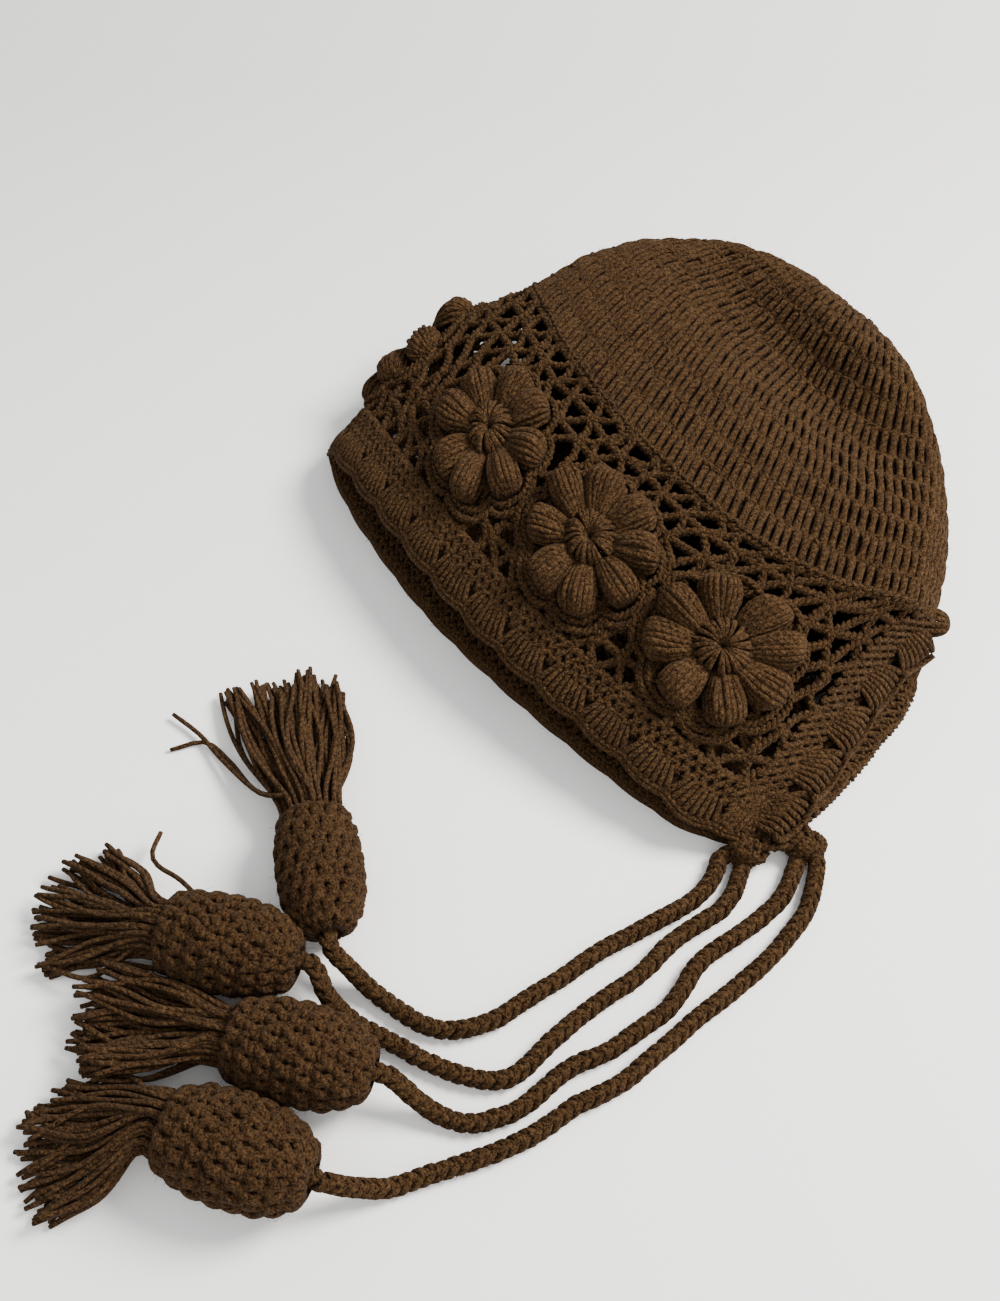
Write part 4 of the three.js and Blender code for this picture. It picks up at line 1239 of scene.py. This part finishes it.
def make_tie(number, tassel):
    """A braid: legs slant out from the middle of its top and wrap under it, left and right in turn."""
    whole = whole_tie_line(tassel)
    whole_length = np.linalg.norm(np.diff(whole, axis=0), axis=1).sum()
    samples = int(whole_length / 0.5)
    middle = along(whole, samples)
    tangent = unit(np.gradient(middle, axis=0))
    side = unit(np.cross(tangent, UP))
    up = np.cross(side, tangent)
    t = np.linspace(0, 1, 8)
    parts = []
    for hand in (1, -1):
        last = whole_length - BRAID["reach"] - (0.5 * BRAID["pitch"] if hand < 0 else 0)
        starts = np.arange(last, -BRAID["pitch"], -BRAID["pitch"])
        starts = starts + RANDOM.normal(0, 0.15, len(starts))
        way = starts[:, None] + BRAID["reach"] * t
        index = np.clip(way / whole_length * (samples - 1), 0, samples - 1)
        turn = hand * np.radians(BRAID["first_turn"] + BRAID["wrap"] * t)
        tuck = BRAID["radius"] - 1.0 * (1 - np.sin(math.pi * np.clip(t * 0.9 + 0.05, 0, 1)) ** 0.5)
        tuck = tuck + RANDOM.normal(0, 0.08, (len(starts), 1))
        rise, aside = unit(rows_at(up, index)), unit(rows_at(side, index))
        out = rise * np.cos(turn)[:, None] + aside * np.sin(turn)[:, None]
        parts.append(tubes(rows_at(middle, index) + out * tuck[..., None], out, *STRANDS["braid_leg"]))
    parts += [fuzz(part, FIBRES["tie"], 1.2) for part in parts]
    made = piece(f"tie_braid_{number}", parts, TIE_WOOL, [f"tie_{number}"])
    seen = along(whole, 200)[1:-3]
    return made, seen, np.linalg.norm(np.diff(seen, axis=0), axis=1).sum()


def barrel_radius(tassel, way):
    share = 2 * way / tassel["length"] - 1
    end = np.where(share < 0, BARREL["tie_end"], BARREL["fringe_end"])
    swell = np.sqrt(np.maximum(0, 1 - np.abs(share) ** BARREL["fullness"]))
    return end + (tassel["radius"] - end) * swell


def on_barrel(tassel, way, turn, height):
    """Points over a barrel: way along it, turn round it from the top."""
    ahead = heading_vector(tassel["heading"])
    aside = np.cross(ahead, UP)
    centre = np.array([*tassel["tie_end"], tassel["radius"]])
    radius = barrel_radius(tassel, way) + height
    way, turn, radius = np.broadcast_arrays(way, turn, radius)
    out = np.cos(turn)[..., None] * UP + np.sin(turn)[..., None] * aside
    return centre + way[..., None] * ahead + radius[..., None] * out, out


def barrel_body(tassel, way):
    """The padded shell that a barrel's stitches lie on."""
    turn = np.linspace(0, 2 * math.pi, 24, endpoint=False)
    grid_turn, grid_way = np.meshgrid(turn, way, indexing="ij")
    outer, inner = (on_barrel(tassel, grid_way, grid_turn, -depth)[0] for depth in BARREL["body"])
    return sheet_grid(outer, inner, True)


def barrel_row(tassel, row, way, skin):
    """One row of stitches round a barrel. Skin is the length over its surface at each place of way."""
    t = np.linspace(-1, 1, 7)[None]
    row_length = skin[-1] / BARREL_ROWS
    spots = np.interp((row + 0.5 + 0.58 * t[0]) * row_length, skin, way)
    middle = np.interp((row + 0.5) * row_length, skin, way)
    radius = float(barrel_radius(tassel, np.array(middle)))
    count = max(7, int(round(2 * math.pi * radius / BARREL["stitch"])))
    step = 2 * math.pi / count
    first = (np.arange(count)[:, None] + 0.5 * (row % 2) + RANDOM.normal(0, 0.07, (count, 1))) * step
    parts = []
    for lean, lift in ((1, 0.35), (-1, 0.0)):
        angle = first + lean * (t * 0.55 + 0.12) * step
        height = -2.1 + lift + BARREL["puff"] * (1 - t**2) + RANDOM.normal(0, 0.25, (count, 1))
        point, out = on_barrel(tassel, spots + 0 * angle, angle, height)
        parts.append(tubes(point, out, 1.9 - 0.3 * t[0] ** 2, 1.4, 6))
    return parts


def make_barrel(number, tassel):
    way = np.linspace(0.3, tassel["length"] - 0.3, 24)
    skin = way_along(np.stack([way, barrel_radius(tassel, way)], 1))
    parts = [barrel_body(tassel, way)]
    for row in range(BARREL_ROWS):
        parts += barrel_row(tassel, row, way, skin)
    name, node = f"barrel_wool_{number}", f"barrel_{number}"
    made = piece(name, parts, BARREL_WOOL, [node], FIBRES["barrel"])
    return made


def fringe_plan(locks):
    """For each strand of a fringe: turn, reach, place in the pile, tip height, spread at the root and bow."""
    last = len(locks) - 1
    lanes = np.linspace(-0.6, len(locks) - 0.4, FRINGE_STRANDS)
    lanes = lanes + RANDOM.normal(0, 0.3, FRINGE_STRANDS)
    turn, reach, tip = (np.interp(lanes, np.arange(len(locks)), locks[:, k]) for k in range(3))
    turn = turn + 5.0 * np.clip(lanes - last, 0, 1) - 5.0 * np.clip(-lanes, 0, 1)
    reach = reach * RANDOM.uniform(0.86, 1.04, FRINGE_STRANDS)
    pile = RANDOM.random(FRINGE_STRANDS)
    tip = tip - 2.7 + 7.5 * pile**1.5
    spread = np.clip((lanes - last / 2) / (last / 2 + 0.5), -1, 1)
    return zip(turn, reach, pile, tip, spread, RANDOM.normal(0, 3.2, FRINGE_STRANDS))


def fringe_strand(tassel, root, t, turn, reach, pile, tip, spread, bow):
    """One strand from the barrel's mouth to its tip, with a slight wave."""
    ahead = heading_vector(tassel["heading"])
    aside = np.cross(ahead, UP)
    way = heading_vector(tassel["heading"] + turn)
    across = np.array([-way[1], way[0], 0.0])
    sideways = -MOUTH * 0.95 * spread + RANDOM.normal(0, 1.2)
    room = math.sqrt(max(0.5, MOUTH**2 - sideways**2))
    start = root + aside * sideways + UP * room * (2 * pile - 1)
    neck = start + ahead * 7 - UP * 0.8
    end = root + way * reach
    end[2] = max(FRINGE_LOWEST, tip)
    middle = neck + (end - neck) * 0.5 + across * bow
    middle[2] = max(FRINGE_LOWEST + 0.1, end[2] + (neck[2] - end[2]) * 0.42 + RANDOM.normal(0, 1.0))
    line = along(spline([start - ahead * 2, start, neck, middle, end]), len(t))
    wave = RANDOM.random(2) * 2 * math.pi
    line = line + across * (1.3 * np.sin(t * 7 + wave[0]) * t)[:, None]
    line[:, 2] = np.maximum(FRINGE_LOWEST, line[:, 2] + 0.6 * np.sin(t * 7 + wave[1]) * t)
    return line


def make_fringe(number, tassel):
    """Plied strands that fan from the barrel's mouth and lie over each other, and a few strays."""
    root = np.array([*tassel["tie_end"], tassel["radius"]])
    root = root + heading_vector(tassel["heading"]) * tassel["length"]
    t = np.linspace(0, 1, 16)
    plan = fringe_plan(np.array(tassel["locks"], float))
    paths = [fringe_strand(tassel, root, t, *strand) for strand in plan]
    paths += [along(spline(np.array(stray, float)), len(t)) for stray in tassel["strays"]]
    radius = FRINGE_RADIUS * (1 - 0.12 * (t > 0.97))
    parts = [tubes(np.stack(paths), UP, radius, radius, 5)]
    name, node = f"fringe_wool_{number}", f"fringe_{number}"
    return piece(name, parts, FRINGE_WOOL, [node], FIBRES["fringe"])


def knot_winding(knot, axes):
    """One turn of yarn wound round a knot."""
    s = np.linspace(0, 2 * math.pi, 30)
    pole = unit(RANDOM.normal(0, 1, 3) * np.array([1.0, 0.45, 0.45]))
    first = unit(np.cross(pole, [0.3, 0.2, 1.0]))
    second = np.cross(pole, first)
    shift = RANDOM.uniform(-0.45, 0.45)
    size = math.sqrt(1 - shift**2)
    ball = pole * shift + (first * np.cos(s)[:, None] + second * np.sin(s)[:, None]) * size
    ring = np.array(knot["middle"]) + KNOT["wound_at"] * ball @ axes
    ring[:, 2] = np.maximum(KNOT["lowest"], ring[:, 2])
    return rope(ring, unit(ball @ axes), 1.1, 6.0)


def make_knots():
    """Lumps of wound yarn where the ties leave the ear point, with strands from the border to them."""
    for knot in KNOTS:
        long_way = heading_vector(knot["turn"])
        short_way = np.array([-long_way[1], long_way[0], 0.0])
        axes = np.stack([long_way, short_way, UP]) * np.array(KNOT["half_axes"])[:, None]
        parts = [knot_winding(knot, axes) for _ in range(KNOT["windings"])]
        for link in knot["links"]:
            line = spline(link, 10)
            parts.append(rope(line, np.broadcast_to(UP, line.shape), 1.15, 5.5))
        piece(f"{knot['node']}_wool", parts, KNOT_WOOL, [knot["node"]])


def make_nape_bobble():
    """A puffed stitch at the nape, where the neck border meets the crown."""
    s = np.linspace(0.08, math.pi - 0.08, 13)
    turn = np.radians(np.linspace(-35, 215, 10))[:, None]
    swell = np.sin(s) ** 0.7
    long_way = np.array([0.72, 0.69, -0.1])
    short_way = np.array([-0.69, 0.72, 0.0])
    ring = (
        (-NAPE["long"] * np.cos(s) + 0 * turn)[..., None] * long_way
        + (NAPE["wide"] * swell * np.cos(turn))[..., None] * short_way
        + (NAPE["high"] * swell * np.sin(turn))[..., None] * UP
    )
    point = np.array(NAPE["middle"]) + ring
    parts = [tubes(point, unit(ring + 1e-6), *STRANDS["bobble"])]
    piece("nape_bobble", parts, BORDER_WOOL)


def make_tassels():
    for k, tassel in enumerate(TASSELS):
        number = k + 1
        barrel = make_barrel(number, tassel)
        fringe = make_fringe(number, tassel)
        tie, line, length = make_tie(number, tassel)
        path = metres(along(line, 80))


# Stage

CAMERA = {"place": (0.22855, -0.33033, 0.5), "turn": 46.0, "tilt": 57.0, "lens": 38.74, "sensor": 36}
LIGHTS = {
    "Key": {
        "place": (0.5, 0.85, 1.15), "aim": (0, -0.05, 0),
        "size": 0.7, "power": 62, "color": (1.0, 0.985, 0.96),
    },
    "Fill": {
        "place": (0.9, -0.5, 1.1), "aim": (0.2, -0.2, 0),
        "size": 1.2, "power": 6, "color": (1.0, 0.995, 0.98),
    },
}
SKY = {"color": (0.97, 0.98, 1.0, 1), "strength": 0.97}
# The floor's colour runs from dim to bright along a slope: a painted gradient of light over the floor
FLOOR = {
    "half": 3.0, "slope": (0.7, -0.7, 0), "steepness": 2.2, "middle": 0.68, "painted_dim": (0.70, 0.695, 0.675, 1),
    "painted_bright": (0.975, 0.965, 0.94, 1),
}


def make_camera():
    data = bpy.data.cameras.new("Camera")
    data.lens = CAMERA["lens"]
    data.sensor_width = CAMERA["sensor"]
    camera = bpy.data.objects.new("Camera", data)
    camera.location = CAMERA["place"]
    camera.rotation_euler = (math.radians(90 - CAMERA["tilt"]), 0, math.radians(CAMERA["turn"]))
    bpy.context.scene.collection.objects.link(camera)
    bpy.context.scene.camera = camera


def area_light(name, light):
    data = bpy.data.lights.new(name, "AREA")
    data.shape = "DISK"
    data.size = light["size"]
    data.energy = light["power"]
    data.color = light["color"]
    made = bpy.data.objects.new(name, data)
    made.location = light["place"]
    made.rotation_euler = (Vector(light["aim"]) - Vector(light["place"])).to_track_quat("-Z", "Y").to_euler()
    bpy.context.scene.collection.objects.link(made)


def floor_material():
    """A pale floor with painted light: its colour gets lighter across the picture, standing in for the uneven
    fall of the lamps' light.
    """
    material = bpy.data.materials.new("Pale floor painted light")
    material.use_nodes = True
    nodes, links = material.node_tree.nodes, material.node_tree.links
    shader = nodes["Principled BSDF"]
    spot = nodes.new("ShaderNodeTexCoord")
    slope = nodes.new("ShaderNodeVectorMath")
    slope.operation = "DOT_PRODUCT"
    slope.inputs[1].default_value = FLOOR["slope"]
    links.new(spot.outputs["Object"], slope.inputs[0])
    ramp = nodes.new("ShaderNodeValToRGB")
    ramp.color_ramp.elements[0].color = FLOOR["painted_dim"]
    ramp.color_ramp.elements[1].color = FLOOR["painted_bright"]
    calculate = calculator(nodes, links)
    place_on_ramp = calculate("MULTIPLY_ADD", slope.outputs["Value"], FLOOR["steepness"], FLOOR["middle"])
    links.new(place_on_ramp, ramp.inputs["Fac"])
    links.new(ramp.outputs["Color"], shader.inputs["Base Color"])
    shader.inputs["Roughness"].default_value = 0.8
    return material


def make_floor():
    mesh = bpy.data.meshes.new("Floor")
    half = FLOOR["half"]
    corners = [(-half, -half, 0), (half, -half, 0), (half, half, 0), (-half, half, 0)]
    mesh.from_pydata(corners, [], [(0, 1, 2, 3)])
    mesh.materials.append(floor_material())
    floor = bpy.data.objects.new("Floor", mesh)
    bpy.context.scene.collection.objects.link(floor)


def make_stage():
    world = bpy.data.worlds.new("Studio")
    bpy.context.scene.world = world
    world.use_nodes = True
    sky = world.node_tree.nodes["Background"]
    sky.inputs["Color"].default_value = SKY["color"]
    sky.inputs["Strength"].default_value = SKY["strength"]
    for name, light in LIGHTS.items():
        area_light(name, light)
    make_floor()


make_camera()
make_tassels()
make_crown()
make_flowers()
make_band()
make_border()
make_knots()
make_nape_bobble()
make_stage()

bpy.context.view_layer.update()
